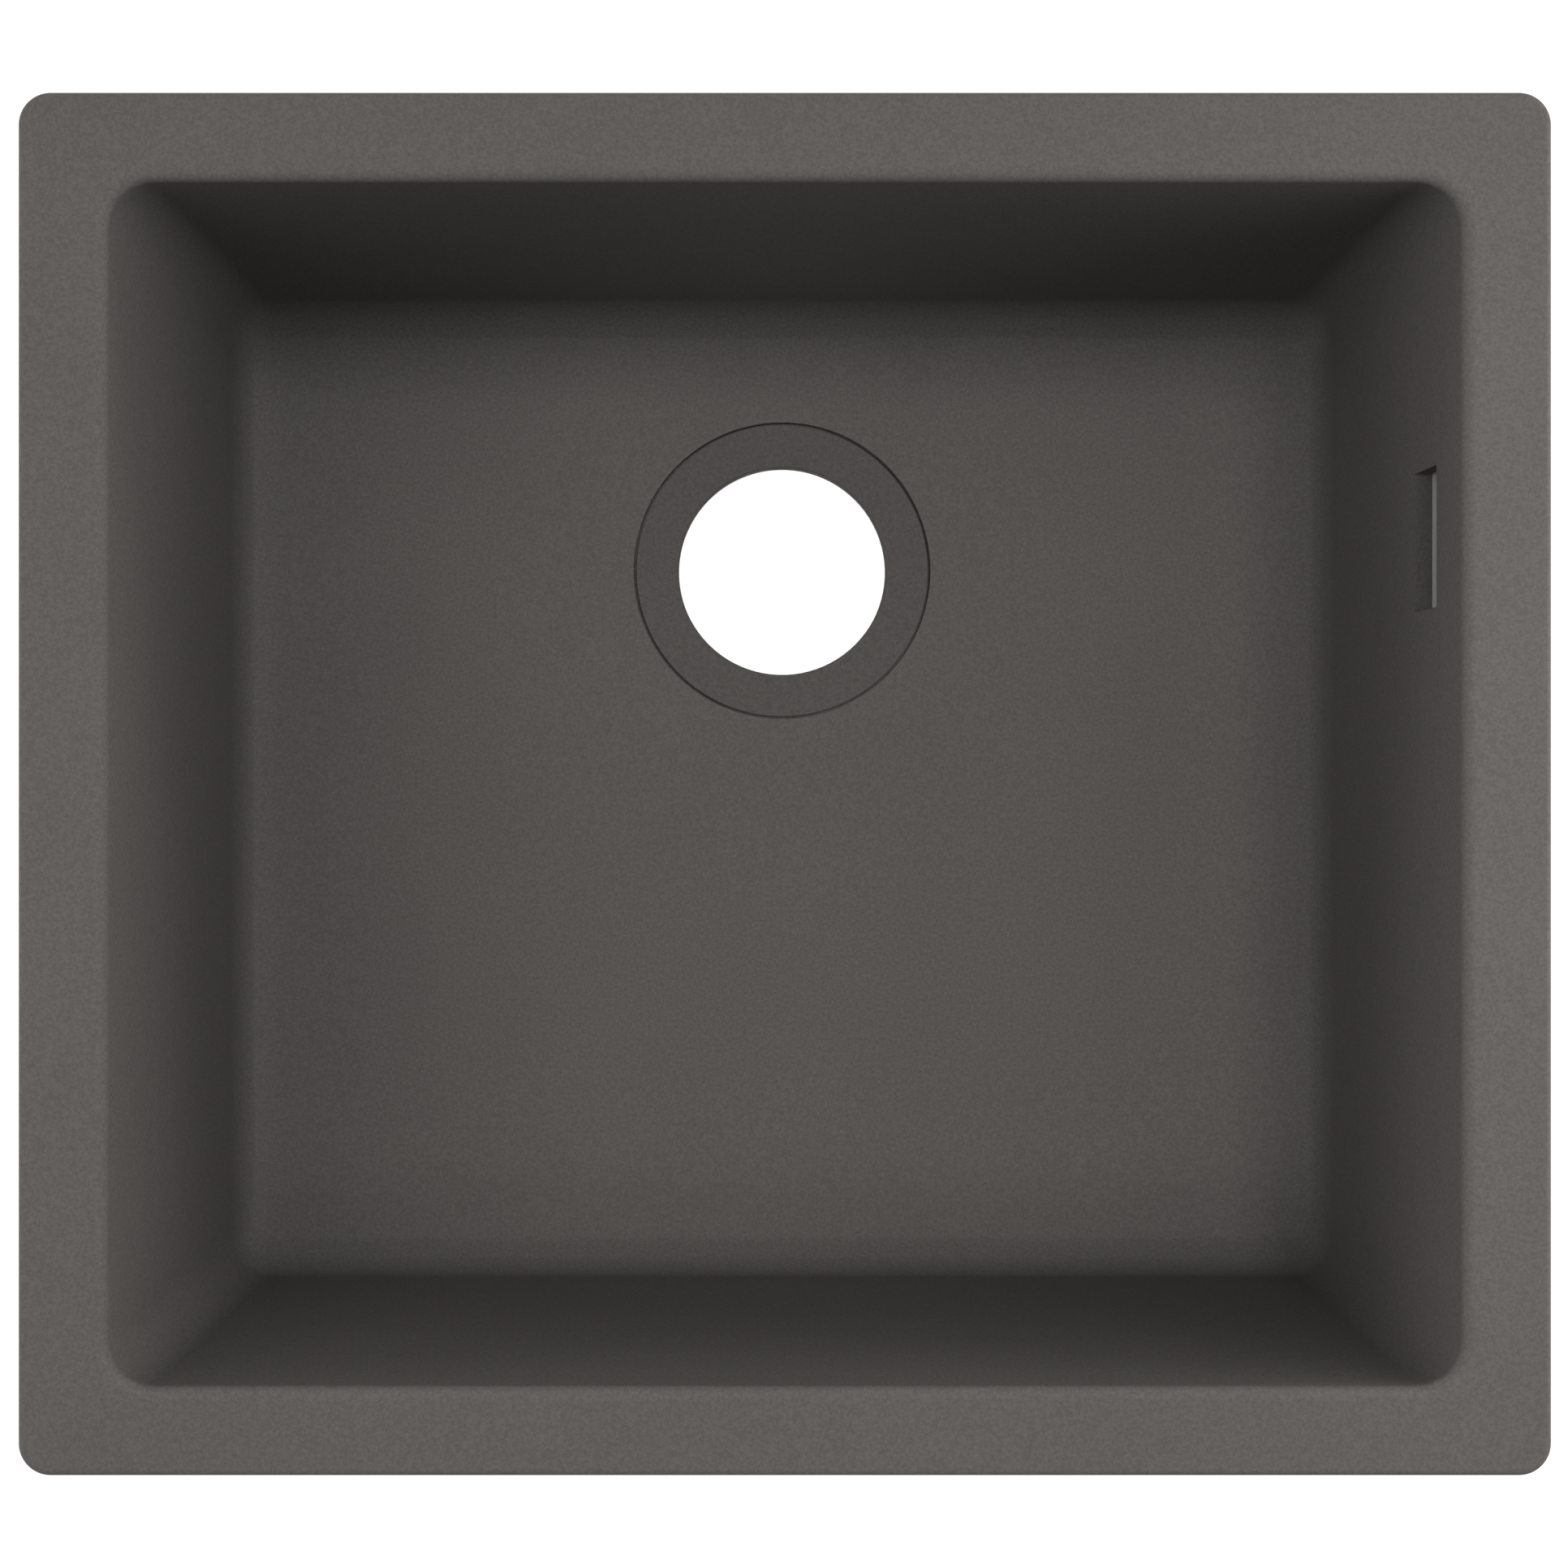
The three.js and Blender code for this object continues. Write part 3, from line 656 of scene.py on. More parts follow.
@dataclass
class Bowl(Assembly):
    """The moulded bowl, with the land, the pocket and the bosses that its fittings seat in."""

    opening: Size = (451 * MM, 402 * MM)
    flange: Size = (501 * MM, 452 * MM)
    height: float = 200 * MM
    flange_thickness: float = 10 * MM
    flange_corner: float = 10.5 * MM
    flange_edge: float = 2 * MM
    lip: float = 4 * MM
    corner: float = 15.5 * MM
    draft: float = math.tan(math.radians(2.8))
    wall: float = 9 * MM
    floor: float = 10 * MM
    floor_fall: float = 1.5 * MM
    outer_foot: float = 8 * MM
    toe_height: float = 21 * MM
    toe_runs: Size = (4.5 * MM, 10.5 * MM)
    toe_angle: float = math.radians(45)
    crease: float = 0.3
    sweep_height: float = 2.6 * MM
    sweep_run: float = 12 * MM
    floor_corner: float = 3 * MM
    drain_offset: float = 86 * MM
    drain_radius: float = 41 * MM
    drain_edge: float = 1 * MM
    seat_radius: float = 57.5 * MM
    seat_depth: float = 0.5 * MM
    seat_fall: float = 2 * MM
    groove_width: float = 1.1 * MM
    groove_depth: float = 3 * MM
    groove_lip: float = 0.2 * MM
    land_margin: float = 1.5 * MM
    land_root: float = 7 * MM
    cutter_length: float = 18 * MM
    bore_length: float = 16 * MM
    boss_radius: float = 6.5 * MM
    boss_height: float = 5 * MM
    boss_reach: float = 14 * MM
    hold: float = 0.4 * MM
    corner_steps: int = 20
    edge_steps: int = 6
    lip_steps: int = 8
    toe_steps: int = 12
    hole_steps: int = 5
    places: OverflowPlaces = field(default_factory=OverflowPlaces)

    def wall_inset(self, z: float) -> float:
        """How far the inner wall stands inside the opening at a height."""
        return self.lip + max(0.0, self.height - self.lip - z) * self.draft

    def inside(self, z: float, corner: float, inset_x: float, inset_y: float | None = None) -> Level:
        """A level inset from the opening, by the same on all sides where one inset is given."""
        inset_y = inset_x if inset_y is None else inset_y
        return Level(z, self.opening[0] / 2 - inset_x, self.opening[1] / 2 - inset_y, corner)

    def outside(self, z: float, inset: float) -> Level:
        """A level inset from the flange outline."""
        half_x, half_y = self.flange[0] / 2 - inset, self.flange[1] / 2 - inset
        return Level(z, half_x, half_y, self.flange_corner - inset)

    def outer_levels(self) -> list[Level]:
        """The underside, the outer wall and the flange.

        Returns:
            The levels, from the drain outwards and up.
        """
        corner, foot = self.corner + self.wall, self.wall_inset(self.outer_foot) - self.wall
        under, reach = self.height - self.flange_thickness, self.outer_foot + self.hold
        levels = [self.inside(0.0, corner - reach, foot + reach)]
        levels += [self.inside(gone, corner - left, foot + left)
                   for left, gone in quarter_arc(self.outer_foot, self.edge_steps)]
        levels += [self.inside(z, corner, self.wall_inset(z) - self.wall)
                   for z in (reach, under - self.hold, under)]
        levels += [self.outside(under, self.hold), self.outside(under, 0.0),
                   self.outside(self.height - self.flange_edge - self.hold, 0.0)]
        levels += [self.outside(self.height - left, gone)
                   for left, gone in quarter_arc(self.flange_edge, self.edge_steps)]
        return levels + [self.outside(self.height, self.flange_edge + self.hold)]

    def inner_levels(self) -> list[Level]:
        """The lip, the inner wall, the toe and the sweep.

        Returns:
            The levels, from the flange face down to the floor's edge.
        """
        levels = [self.inside(self.height, self.corner + self.lip + self.hold, -self.hold)]
        levels += [self.inside(self.height - gone, self.corner + left, self.lip - left)
                   for left, gone in quarter_arc(self.lip, self.lip_steps)]
        levels += [self.inside(z, self.corner, self.wall_inset(z))
                   for z in (self.height - self.lip - self.hold, self.foot_point(0.0).z + self.hold)]
        steps, whole_toe, swept = self.toe_steps, 1 - self.crease, self.crease / 2
        points = [self.foot_point(whole_toe * step / steps) for step in range(steps + 1)]
        start, crease, end = (self.foot_point(share) for share in (whole_toe, 1.0, 1 + swept))
        for step in range(1, steps):
            share = step / steps
            points.append(start.lerp(crease, share).lerp(crease.lerp(end, share), share))
        steps = self.edge_steps
        points += [self.foot_point(1 + swept + (1 - swept) * step / steps) for step in range(steps + 1)]
        return levels + [self.foot_level(point) for point in points]

    def foot_point(self, share: float) -> Vector:
        """A point of the curve from the wall to the floor: the toe, and after the crease the sweep.

        Args:
            share: From 0 at the wall's foot to 1 at the crease and 2 at the floor's edge.

        Returns:
            The runs inwards from the wall's foot along X and Y, and the height.
        """
        angle, sweep = self.toe_angle * min(share, 1.0), max(share - 1.0, 0.0)
        toe = (1 - math.cos(angle)) / (1 - math.cos(self.toe_angle))
        height = self.floor + self.floor_fall + self.sweep_height * (1 - sweep) ** 2
        height += self.toe_height * (1 - math.sin(angle) / math.sin(self.toe_angle))
        run_x, run_y = (run * toe + self.sweep_run * sweep for run in self.toe_runs)
        return Vector((run_x, run_y, height))

    def foot_level(self, point: Vector) -> Level:
        """A level in the toe or the sweep, where the corners tighten as the runs grow.

        Args:
            point: The runs inwards and the height.

        Returns:
            The level.
        """
        foot = self.wall_inset(self.foot_point(0.0).z)
        corner = max(self.corner - (point.x + point.y) / 2, self.floor_corner)
        return self.inside(point.z, corner, foot + point.x, foot + point.y)

    def drain_levels(self) -> list[Level]:
        """The floor beside the drain, the groove, the strainer's seat, the hole and the underside.

        Returns:
            The levels, from the floor inwards and down.
        """
        seat = self.floor - self.seat_depth
        low_seat, groove = seat - self.seat_fall, seat - self.groove_depth
        outer, hole = self.seat_radius + self.groove_width, self.drain_radius
        lip, edge, hold = self.groove_lip, self.drain_edge, self.hold
        fall = hold * self.seat_fall / (self.seat_radius - hole - edge)
        rings = [
            (self.floor, outer + 3 * hold), (self.floor, outer + lip),
            (self.floor - lip / 2, outer + lip / 4), (self.floor - lip, outer),
            (groove, outer), (groove, self.seat_radius), (seat, self.seat_radius),
            (seat - fall, self.seat_radius - hold), (low_seat + fall, hole + edge + hold),
            *((low_seat - gone, hole + left) for left, gone in quarter_arc(edge, self.hole_steps)),
            (low_seat - edge - hold, hole), (edge / 2, hole), (0.0, hole + edge / 2),
        ]
        return [Level(z, radius, radius, radius, round_drain=True) for z, radius in rings]

    def loop(self, mesh: Mesh, level: Level, storey: float) -> list[bmesh.types.BMEdge]:
        """Draws one level as an open loop.

        Args:
            mesh: The mesh to draw in.
            level: The ring's sizes.
            storey: The height to draw it at.

        Returns:
            The loop's edges.
        """
        known, points = set(mesh.edges), 4 * (self.corner_steps + 1)
        if level.round_drain:
            circle = bmesh.ops.create_circle(mesh, cap_ends=False, radius=level.half_x, segments=points)
            ring = circle["verts"]
            half_step = Matrix.Rotation(math.pi / points, 3, "Z")
            bmesh.ops.rotate(mesh, cent=(0, 0, 0), matrix=half_step, verts=ring)
            bmesh.ops.translate(mesh, vec=(0, self.drain_offset, storey), verts=ring)
            return [edge for edge in mesh.edges if edge not in known]
        ring = bmesh.ops.create_grid(mesh, x_segments=1, y_segments=1, size=1.0)["verts"]
        bmesh.ops.scale(mesh, vec=(level.half_x, level.half_y, 1.0), verts=ring)
        bmesh.ops.translate(mesh, vec=(0, 0, storey), verts=ring)
        bmesh.ops.bevel(mesh, geom=ring, offset=level.corner, offset_type="OFFSET", affect="VERTICES",
                        segments=self.corner_steps, profile=0.5, material=-1)
        edges = [edge for edge in mesh.edges if edge not in known]
        bmesh.ops.delete(mesh, geom=list(edges[0].link_faces), context="FACES_ONLY")
        return edges

    def shell(self) -> Mesh:
        """Bridges all levels into the closed bowl, each on a storey of its own, then lowers them.

        Returns:
            The bowl, without its land, bosses, slot and bores.
        """
        mesh = bmesh.new()
        drain = self.drain_levels()
        levels = drain[-1:] + self.outer_levels() + self.inner_levels() + drain[:-1]
        storeys = [index * 0.1 for index in range(len(levels))]
        loops = [self.loop(mesh, level, storey) for level, storey in zip(levels, storeys)]
        for here, after in zip(loops, loops[1:] + loops[:1]):
            bmesh.ops.bridge_loops(mesh, edges=here + after)
        for loop, level, storey in zip(loops, levels, storeys):
            points = list({vert for edge in loop for vert in edge.verts})
            bmesh.ops.translate(mesh, vec=(0, 0, level.height - storey), verts=points)
        return settled(mesh)

    def land(self) -> Mesh:
        """The flat raised face that the overflow fitting seats on."""
        places, size = self.places, grown(self.places.plate_size, self.land_margin)
        return places.bar(size, places.plate_corner, places.land_x - self.land_root, places.land_x)

    def overflow_cutters(self) -> list[Mesh]:
        """The cutters of the overflow's openings in the wall.

        Returns:
            The cutters of the slot, of the gasket's pocket and of the inserts' bores.
        """
        places = self.places
        slot_end, bore_start = places.pocket_x + OVER, places.land_x - places.insert_length - GAP
        return [
            places.bar(places.slot_size, places.slot_corner, slot_end - self.cutter_length, slot_end,
                       segments=4),
            places.bar(grown(places.gasket_size, GAP), places.gasket_corner, places.pocket_x,
                       places.pocket_x + self.cutter_length),
            *places.screw_rods(places.insert_radius + GAP, bore_start, bore_start + self.bore_length),
        ]

    def boss_place(self, hanger: "Hanger") -> Matrix:
        """The foot of a hanger's boss, whose Y axis points outwards."""
        return hanger.outward(self.height - self.flange_thickness - self.boss_height)

    def boss(self, hanger: "Hanger") -> Mesh:
        """The boss of one hanger.

        Args:
            hanger: The hanger.

        Returns:
            The boss, from inside the wall out past the pivot.
        """
        radius, reach = self.boss_radius, self.boss_reach
        bar = rounded_bar((2 * radius, reach + radius), radius * FULL_ROUND,
                          self.boss_height + self.flange_thickness / 2, 12)
        bmesh.ops.translate(bar, vec=(0, radius - (reach + radius) / 2, 0), verts=bar.verts)
        root = [vert for vert in bar.verts if vert.co.y < -reach / 2]
        bmesh.ops.translate(bar, vec=(0, -radius / 2, 0), verts=root)
        return placed(bar, self.boss_place(hanger))

    def boss_bore(self, hanger: "Hanger") -> Mesh:
        """The cutter of the bore of one hanger's insert."""
        bore = rod(hanger.insert_radius + GAP, -OVER, hanger.insert_length + GAP, 32)
        return placed(bore, self.boss_place(hanger))

    def build(self, hangers: Sequence["Hanger"]) -> None:
        """Makes the bowl.

        Args:
            hangers: The hangers that the bowl has bosses for.
        """
        bowl = as_object("composite_bowl", self.shell())
        combine(bowl, Join.ADD, [self.land(), *(self.boss(hanger) for hanger in hangers)])
        combine(bowl, Join.CUT, self.overflow_cutters() + [self.boss_bore(hanger) for hanger in hangers])
        self.dress(bowl, "composite", "bowl")


# ---- Overflow fitting ----


@dataclass
class OverflowFitting(Assembly):
    """The housing behind the slot, with its gasket and its two screws."""

    rim_wall: float = 1.6 * MM
    plate: float = 3 * MM
    wall: float = 2 * MM
    side_margin: float = 2 * MM
    sump: float = 5 * MM
    chamber_corner: float = 3 * MM
    spigot_radius: float = 8 * MM
    spigot_chamfer: float = 0.4 * MM
    barb_height: float = 0.6 * MM
    barb_length: float = 5 * MM
    barb_land: float = 0.3 * MM
    barb_back: float = 0.2 * MM
    barb_pitch: float = 9 * MM
    barb_count: int = 2
    rib: float = 1.4 * MM
    rib_share: float = 0.72
    rib_corner: float = 0.3 * MM
    rib_depth: float = 3.4 * MM
    rib_root: float = 0.4 * MM
    rib_spread: float = 0.56
    gasket_inner_corner: float = 2.6 * MM
    housing_softness: float = 0.35 * MM
    gasket_softness: float = 0.4 * MM
    head_rise: float = 2.8 * MM
    head_crown: float = 0.55
    head_steps: int = 6
    recess: Size = (4.0 * MM, 0.9 * MM)
    recess_depth: float = 1.5 * MM
    recess_turn: float = 0.5
    places: OverflowPlaces = field(default_factory=OverflowPlaces)

    def spigot(self, x: float, foot: float, top: float) -> Mesh:
        """The barbed spout that takes the hose.

        Args:
            x: Where its axis is along X.
            foot: Its lower end.
            top: Its upper end, inside the chamber's floor.

        Returns:
            The spout, not yet bored.
        """
        radius, barbed = self.spigot_radius, self.spigot_radius + self.barb_height
        outline = [(0.0, foot), (radius - self.spigot_chamfer, foot)]
        for barb in range(self.barb_count):
            start = foot + barb * self.barb_pitch
            end = start + self.barb_length
            outline += [(radius, start + self.spigot_chamfer), (barbed, end - self.barb_land), (barbed, end),
                        (radius, end + self.barb_back)]
        outline += [(radius, top), (0.0, top)]
        return placed(spun(outline), Matrix.Translation((x, self.places.slot_offset, 0)))

    def housing(self) -> None:
        """Makes the housing."""
        places = self.places
        low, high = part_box("overflow_housing")
        plate_x, end_x = places.land_x + GAP, high[0] - self.barb_height
        chamber_x = plate_x + self.plate
        top = places.slot_middle + places.slot_size[1] / 2 + self.wall
        sump_floor = places.slot_middle - places.slot_size[1] / 2 - self.sump
        under = sump_floor - self.wall
        chamber = (places.slot_size[0] + 2 * (self.side_margin + self.wall), top - under)
        middle, spigot_x = (top + under) / 2, end_x - self.spigot_radius
        rim = grown(places.slot_size, self.rim_wall)
        rib = (self.rib, places.plate_size[1] * self.rib_share)
        piece = as_object("overflow_body",
                          places.bar(places.plate_size, places.plate_corner, plate_x, chamber_x))
        combine(piece, Join.ADD, [
            places.bar(rim, self.rim_wall + places.slot_corner, low[0], chamber_x - OVER),
            places.bar(chamber, self.chamber_corner, chamber_x - OVER, end_x, middle),
            self.spigot(spigot_x, low[2], under + self.wall / 2),
            *(placed(rounded_bar(rib, self.rib_corner, self.rib_depth, 2),
                     places.at(chamber_x - self.rib_root, side * chamber[0] * self.rib_spread))
              for side in (-1, 1)),
        ])
        bore = rod(self.spigot_radius - self.wall, low[2] - OVER, sump_floor + OVER)
        combine(piece, Join.CUT, [
            places.bar(places.slot_size, places.slot_corner, low[0] - OVER, chamber_x + OVER),
            places.bar(grown(chamber, -self.wall), places.slot_corner, chamber_x, end_x - self.wall, middle),
            placed(bore, Matrix.Translation((spigot_x, places.slot_offset, 0))),
            *places.screw_rods(places.screw_radius + GAP, plate_x - OVER, chamber_x + 2 * OVER),
        ])
        soften(piece, self.housing_softness)
        self.dress(piece, "grey_plastic", "overflow_housing")

    def gasket(self) -> None:
        """Makes the gasket round the housing's rim."""
        places = self.places
        low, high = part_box("overflow_gasket")
        piece = as_object("overflow_seal",
                          places.bar(places.gasket_size, places.gasket_corner, low[0], high[0]))
        hole = grown(places.slot_size, self.rim_wall + GAP)
        combine(piece, Join.CUT, [places.bar(hole, self.gasket_inner_corner, low[0] - OVER, high[0] + OVER)])
        soften(piece, self.gasket_softness)
        self.dress(piece, "rubber", "overflow_gasket")

    def screw(self, end: str) -> None:
        """Makes one pan-head screw with a cross recess.

        Args:
            end: Which of the two screws, back or front.
        """
        node = f"overflow_screw_{end}"
        low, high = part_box(node)
        head, rise, length = (high[2] - low[2]) / 2, self.head_rise, high[0] - low[0]
        shank, under, crown = self.places.screw_radius, length - self.head_rise, self.head_crown * rise
        outline = [(0.0, 0.0), (shank * 0.8, 0.0), (shank, 0.5 * MM), (shank, under),
                   (head - 0.2 * MM, under), (head, under + 0.25 * MM)]
        outline += [(head - gone / crown * head, length - left)
                    for left, gone in quarter_arc(crown, self.head_steps)]
        across = (low[1] + high[1]) / 2 - self.places.slot_offset
        place = self.places.at(low[0], across, (low[2] + high[2]) / 2)
        piece = as_object(f"pan_screw_{end}", placed(spun(outline, 48), place))
        bottom = place @ Matrix.Translation((0, 0, length - self.recess_depth))
        combine(piece, Join.CUT, [
            placed(rounded_bar(size, 0.1 * MM, 2 * self.recess_depth, 2),
                   bottom @ Matrix.Rotation(self.recess_turn, 4, "Z"))
            for size in (self.recess, self.recess[::-1])
        ])
        self.dress(piece, "zinc_plated_steel", node)

    def build(self) -> None:
        """Makes every piece of the fitting and gives its inserts their finish."""
        self.housing()
        self.gasket()
        for end in ("back", "front"):
            self.screw(end)
            self.dress_node(f"overflow_insert_{end}", "brass")


# ---- Hangers ----


@dataclass
class Hanger(Assembly):
    """One swivel hanger: arm, spring washer and shoulder screw round one pivot."""

    place: str
    pivot: Vector
    slot_reach: float = 22 * MM
    slot_size: Size = (10 * MM, 6.5 * MM)
    arm_softness: float = 0.3 * MM
    shoulder_radius: float = 4 * MM
    thread_radius: float = 3 * MM
    thread_length: float = 10 * MM
    insert_radius: float = 4.8 * MM
    insert_length: float = 11 * MM
    collar_height: float = 1.5 * MM
    collar_chamfer: Size = (0.9 * MM, 0.7 * MM)
    collar_edge: float = 0.2 * MM
    hex_flats: float = 10 * MM
    hex_height: float = 5 * MM
    hex_chamfer: float = 0.75 * MM
    hex_face: float = 0.96
    tip_chamfer: float = 0.6 * MM
    washer_band: float = 3 * MM
    washer_edge: float = 0.1 * MM
    wave_thickness: float = 0.6 * MM
    wave_count: int = 3

    @property
    def arm_node(self) -> str:
        """Name of the arm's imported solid."""
        return f"hanger_arm_{self.place}"

    def along(self) -> Vector:
        """Finds the direction in which the arm rests.

        Returns:
            The direction from the pivot to the arm's tip.
        """
        low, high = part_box(self.arm_node)
        middle = (Vector(low) + Vector(high)) / 2 - self.pivot
        return Vector((round(middle.x / middle.length), round(middle.y / middle.length), 0))

    def turned(self, z: float, angle: float) -> Matrix:
        """A place at the pivot, turned round Z."""
        return Matrix.Translation((self.pivot.x, self.pivot.y, z)) @ Matrix.Rotation(angle, 4, "Z")

    def outward(self, z: float) -> Matrix:
        """A place at the pivot whose Y axis points away from the bowl's wall."""
        return self.turned(z, math.radians(Side[self.place.split("_")[0].upper()].value))

    def lengthwise(self, z: float) -> Matrix:
        """A place at the pivot whose X axis points along the arm."""
        return self.turned(z, math.atan2(self.along().y, self.along().x))

    def arm(self) -> None:
        """Makes the stamped arm, with its pivot hole and its stud slot."""
        low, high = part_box(self.arm_node)
        width, length = sorted((high[0] - low[0], high[1] - low[1]))
        shift = Matrix.Translation((length / 2 - width / 2, 0, 0))
        blank = placed(rounded_bar((length, width), width / 2 * FULL_ROUND, high[2] - low[2], 16), shift)
        place = self.lengthwise(low[2])
        piece = as_object(f"swivel_arm_{self.place}", placed(blank, place))
        hole = rod(self.shoulder_radius + GAP, -OVER, 5 * OVER, 48)
        slot = rounded_bar(self.slot_size, self.slot_size[1] / 2 * FULL_ROUND, 6 * OVER, 12)
        slot = placed(slot, place @ Matrix.Translation((self.slot_reach, 0, -OVER)))
        combine(piece, Join.CUT, [placed(hole, place), slot])
        soften(piece, self.arm_softness)
        streaks = Streaks.ALONG_X if abs(self.along().x) > 0.5 else Streaks.ALONG_Y
        self.dress(piece, "stainless_steel", self.arm_node, f"arm_{self.place}", streaks)

    def washer(self) -> None:
        """Makes the spring washer, a flat ring that rises and falls round its turn."""
        node = f"hanger_washer_{self.place}"
        low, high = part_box(node)
        inner, edge, thickness = self.shoulder_radius + GAP, self.washer_edge, self.wave_thickness
        outer, wave = inner + self.washer_band, high[2] - low[2] - thickness
        mesh = spun([
            (inner, edge), (inner + edge, 0.0), (outer - edge, 0.0), (outer, edge),
            (outer, thickness - edge), (outer - edge, thickness), (inner + edge, thickness),
            (inner, thickness - edge), (inner, edge),
        ], 72)
        for vert in mesh.verts:
            vert.co.z += wave * (1 + math.cos(self.wave_count * math.atan2(vert.co.y, vert.co.x))) / 2
        piece = as_object(f"spring_washer_{self.place}", placed(mesh, self.outward(low[2])))
        self.dress(piece, "spring_steel", node)

    def screw(self) -> None:
        """Makes the shoulder screw, with a collar and a chamfered hexagon head."""
        node = f"hanger_screw_{self.place}"
        low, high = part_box(node)
        collar, low_end = (high[0] - low[0]) / 2, self.hex_height
        collar_top, top = low_end + self.collar_height, high[2] - low[2]
        step = top - self.thread_length - GAP
        (chamfer_in, chamfer_up), edge, tip = self.collar_chamfer, self.collar_edge, self.tip_chamfer
        shoulder, thread, corner = self.shoulder_radius, self.thread_radius, self.hex_flats / math.sqrt(3)
        depth = low_end + chamfer_up
        head = bmesh.new()
        bmesh.ops.create_cone(head, cap_ends=True, segments=6, radius1=corner, radius2=corner, depth=depth)
        bmesh.ops.translate(head, vec=(0, 0, depth / 2), verts=head.verts)
        piece = as_object(f"shoulder_screw_{self.place}", head)
        past_head = 8 * MM
        combine(piece, Join.KEEP, [spun([
            (0.0, 0.0), (self.hex_flats / 2 * self.hex_face, 0.0), (corner, self.hex_chamfer),
            (corner, past_head), (0.0, past_head),
        ])])
        combine(piece, Join.ADD, [spun([
            (0.0, low_end), (collar - chamfer_in, low_end), (collar, depth), (collar, collar_top - edge),
            (collar - edge, collar_top), (shoulder, collar_top), (shoulder, step - GAP),
            (shoulder - GAP, step), (thread, step), (thread, top - tip), (thread - tip, top), (0.0, top),
        ])])
        piece.data.transform(self.outward(low[2]))
        self.dress(piece, "zinc_plated_steel", node)

    def build(self) -> None:
        """Makes the hanger's arm, washer and screw and gives its insert its finish."""
        self.arm()
        self.washer()
        self.screw()
        self.dress_node(f"hanger_insert_{self.place}", "brass")


def hangers_from_frame(palette: Palette) -> list[Hanger]:
    """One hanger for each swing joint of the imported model."""
    joints = frame["record"]["behaviour"]["joints"]
    return [Hanger(palette, joint["name"].removeprefix("swing_"), Vector(joint["pos_m"]))
            for joint in joints]


# ---- Studio ----


@dataclass(frozen=True)
class SoftLamp:
    """A far lamp, which lights every place alike. Its angles are in degrees."""

    azimuth: float
    elevation: float
    spread: float
    strength: float

    def build(self, name: str) -> None:
        """Makes the lamp.

        Args:
            name: Name of the lamp.
        """
        data = bpy.data.lights.new(name, "SUN")
        data.angle = math.radians(self.spread)
        data.energy = self.strength
        lamp = in_scene(name, data)
        lamp.rotation_euler = (0.0, math.radians(90 - self.elevation), math.radians(self.azimuth))


@dataclass(frozen=True)
class PanelLamp:
    """A panel of light near the sink, which lights what is close to it most."""

    place: tuple[float, float, float]
    aim: tuple[float, float, float]
    size: Size
    power: float

    def build(self, name: str) -> None:
        """Makes the lamp.

        Args:
            name: Name of the lamp.
        """
        data = bpy.data.lights.new(name, "AREA")
        data.shape = "RECTANGLE"
        data.size, data.size_y = self.size
        data.energy = self.power
        lamp = in_scene(name, data)
        lamp.location = self.place
        lamp.rotation_euler = Vector(self.aim).to_track_quat("-Z", "Z").to_euler()
        lamp.visible_camera = False


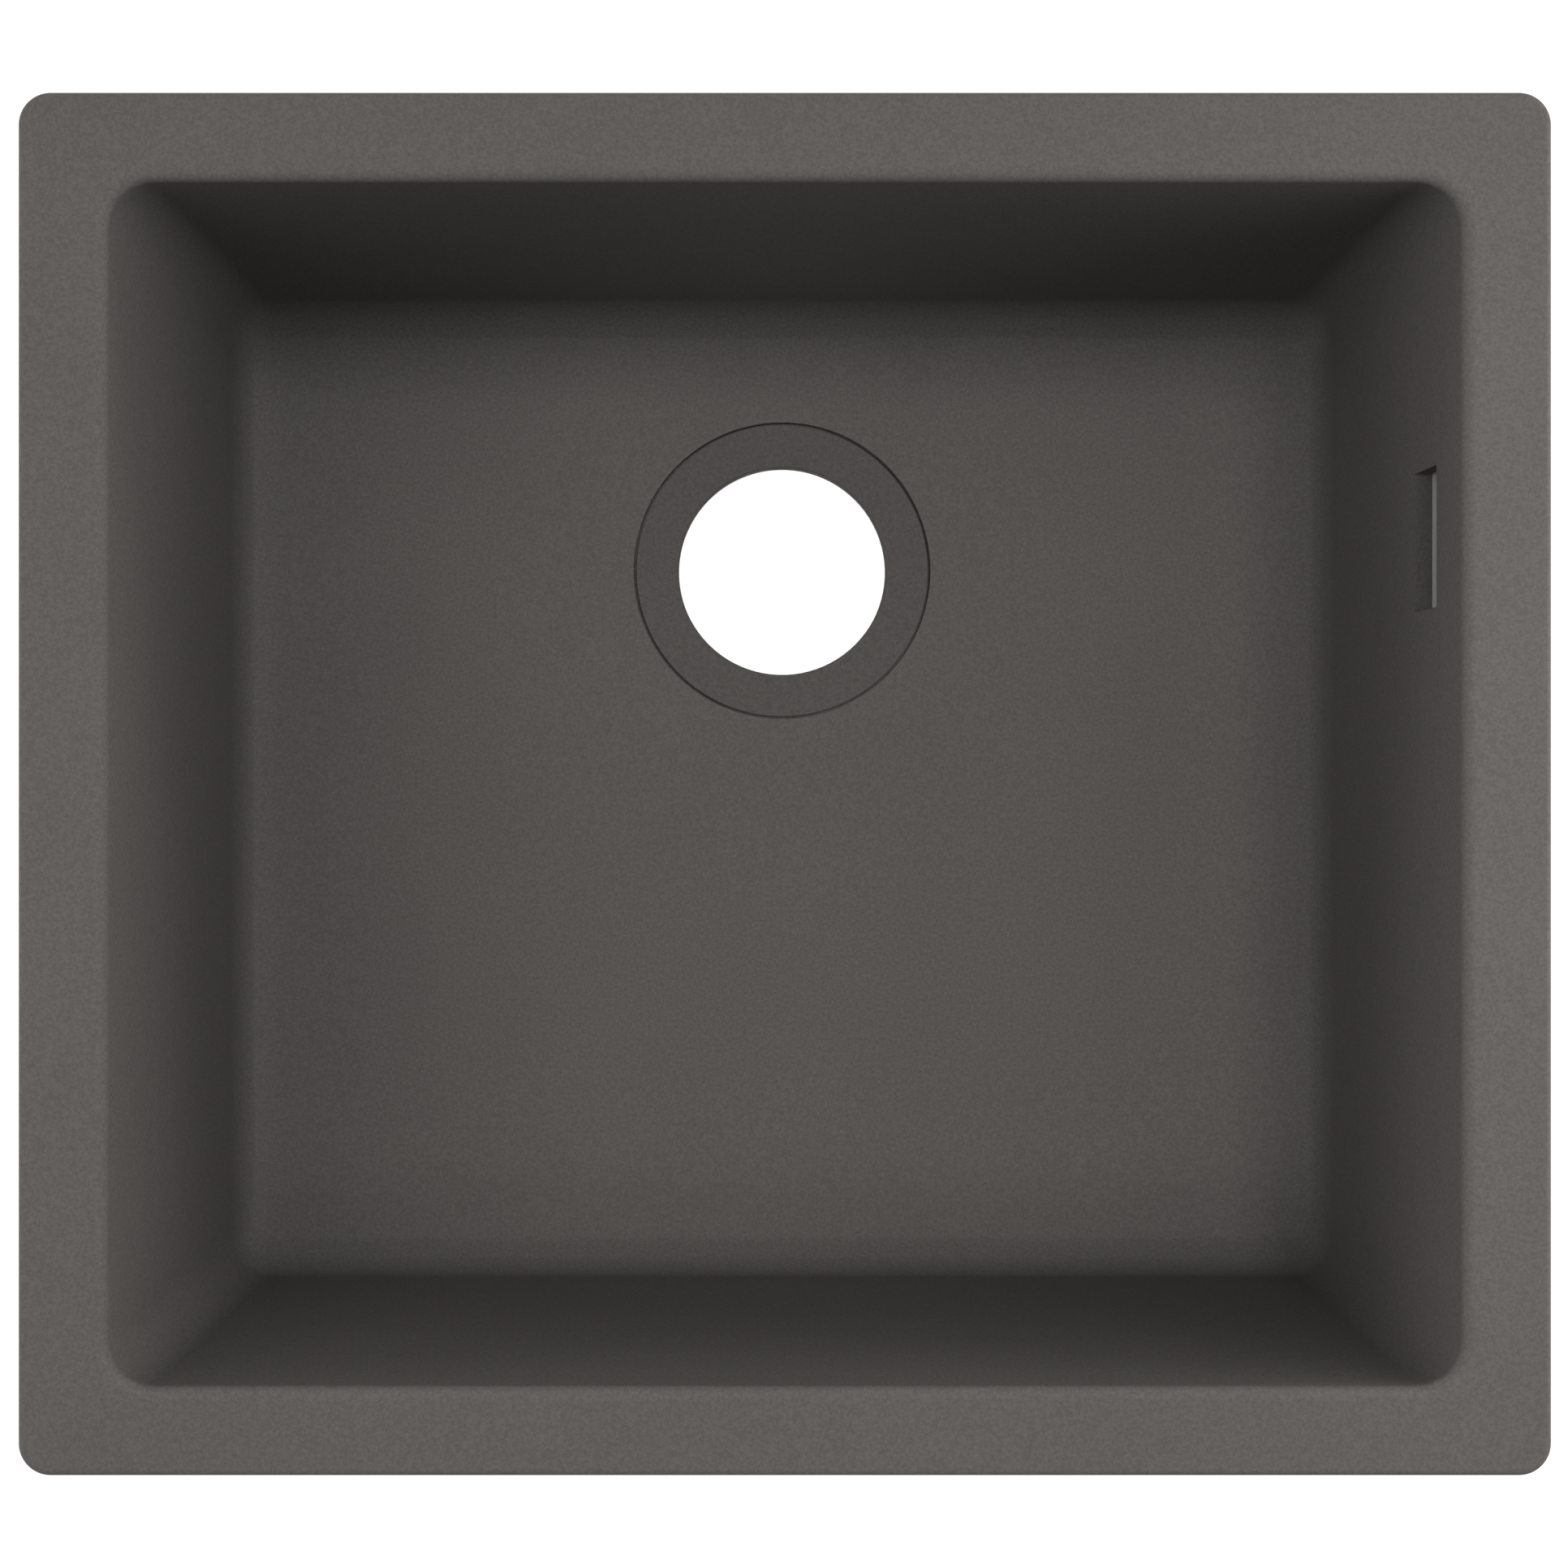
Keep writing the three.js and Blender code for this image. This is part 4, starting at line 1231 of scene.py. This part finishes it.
@dataclass
class Studio:
    """The floor, the soft light and the camera. Lamps and camera are fitted to the photograph."""

    camera_place: Size = (-5.2 * MM, -8.2 * MM)
    camera_height: float = 900 * MM
    flange_height: float = 200 * MM
    focal_pixels: float = 3398.0
    centre_pixel: tuple[float, float] = (947.4, 996.9)
    sensor: float = 36.0
    floor_size: float = 40.0
    floor_drop: float = 0.05 * MM
    floor_glow: float = 0.92
    floor_lift: float = 0.25
    light_below: float = 0.70
    lamps: tuple[SoftLamp | PanelLamp, ...] = (
        SoftLamp(45, 78, 12, 0.70),
        SoftLamp(270, 78, 12, 0.27),
        SoftLamp(45, 65, 30, 0.24),
        SoftLamp(135, 65, 30, 0.15),
        SoftLamp(180, 65, 30, 0.475),
        SoftLamp(180, 42, 32, 0.26),
        SoftLamp(0, 7, 20, 0.62),
        SoftLamp(45, 7, 20, 0.40),
        SoftLamp(135, 7, 20, 0.24),
        SoftLamp(180, 7, 20, 0.66),
        PanelLamp((0.85, 0.10, 0.40), (-1.0, 0.0, -0.25), (0.8, 0.5), 2.9),
        PanelLamp((0.62, 0.05, 0.45), (-1.0, 0.0, -0.6), (0.6, 0.3), 1.0),
        PanelLamp((-0.62, 0.0, 0.45), (1.0, 0.0, -0.6), (0.6, 0.3), 0.6),
    )

    def seen_ray(self, board: NodeBoard) -> Socket:
        """Tells rays that show the background itself or its mirror image from light that falls.

        Args:
            board: The nodes to add to.

        Returns:
            1 for rays that show it, and 0 for the others.
        """
        path = board.add("ShaderNodeLightPath").outputs
        mirrored = board.calculate("MAXIMUM", path["Is Glossy Ray"], path["Is Transmission Ray"])
        return board.calculate("MAXIMUM", path["Is Camera Ray"], mirrored)

    def floor(self) -> None:
        """Makes the pale floor: white with a soft shadow from above, and see-through from beneath."""
        mesh = bmesh.new()
        bmesh.ops.create_grid(mesh, x_segments=1, y_segments=1, size=self.floor_size / 2)
        bmesh.ops.translate(mesh, vec=(0, 0, -self.floor_drop), verts=mesh.verts)
        floor = as_object("studio_floor", mesh)
        material = bpy.data.materials.new("pale_floor")
        board = NodeBoard(material)
        board.tree.nodes.clear()
        lifted = board.add("ShaderNodeBsdfDiffuse", (*(self.floor_lift,) * 3, 1.0)).outputs[0]
        glow = board.add("ShaderNodeEmission", strength=self.floor_glow).outputs[0]
        seen = board.add("ShaderNodeAddShader", lifted, glow).outputs[0]
        behind = board.add("ShaderNodeNewGeometry").outputs["Backfacing"]
        above = board.calculate("SUBTRACT", 1.0, behind)
        shown = board.calculate("MULTIPLY", self.seen_ray(board), above)
        clear = board.add("ShaderNodeBsdfTransparent").outputs[0]
        mixed = board.add("ShaderNodeMixShader", shown, clear, seen).outputs[0]
        board.add("ShaderNodeOutputMaterial", mixed)
        floor.data.materials.append(material)

    def background(self) -> None:
        """Makes the world: white where it is seen, and soft light from below in the floor's stead."""
        world = bpy.data.worlds.new("pale_studio")
        bpy.context.scene.world = world
        board = NodeBoard(world)
        board.tree.nodes.clear()
        direction = board.add("ShaderNodeTexCoord").outputs["Generated"]
        height = board.add("ShaderNodeSeparateXYZ", direction).outputs["Z"]
        below = board.calculate("LESS_THAN", height, 0.0)
        strength = board.calculate("MULTIPLY", below, self.light_below)
        lift = board.add("ShaderNodeBackground", WHITE, strength).outputs[0]
        white = board.add("ShaderNodeBackground", WHITE, 1.0).outputs[0]
        mixed = board.add("ShaderNodeMixShader", self.seen_ray(board), lift, white).outputs[0]
        board.add("ShaderNodeOutputWorld", mixed)

    def camera(self) -> None:
        """Makes the camera, looking straight down."""
        data = bpy.data.cameras.new("camera")
        data.sensor_width = self.sensor
        data.lens = self.focal_pixels * self.sensor / FRAME_PIXELS
        data.shift_x = (FRAME_PIXELS / 2 - self.centre_pixel[0]) / FRAME_PIXELS
        data.shift_y = (self.centre_pixel[1] - FRAME_PIXELS / 2) / FRAME_PIXELS
        camera = in_scene("camera", data)
        camera.location = (*self.camera_place, self.flange_height + self.camera_height)
        bpy.context.scene.camera = camera

    def build(self) -> None:
        """Makes the whole studio."""
        self.camera()
        self.floor()
        self.background()
        for index, lamp in enumerate(self.lamps):
            lamp.build(f"soft_lamp_{index}")
        bpy.context.scene.view_settings.view_transform = "Standard"


def main() -> None:
    """Builds the sink and its studio in order."""
    logging.basicConfig(level=logging.INFO, format="%(name)s %(message)s")
    Studio().build()
    palette = Palette()
    hangers = hangers_from_frame(palette)
    Bowl(palette).build(hangers)
    OverflowFitting(palette).build()
    for hanger in hangers:
        hanger.build()


if __name__ == "__main__":
    main()
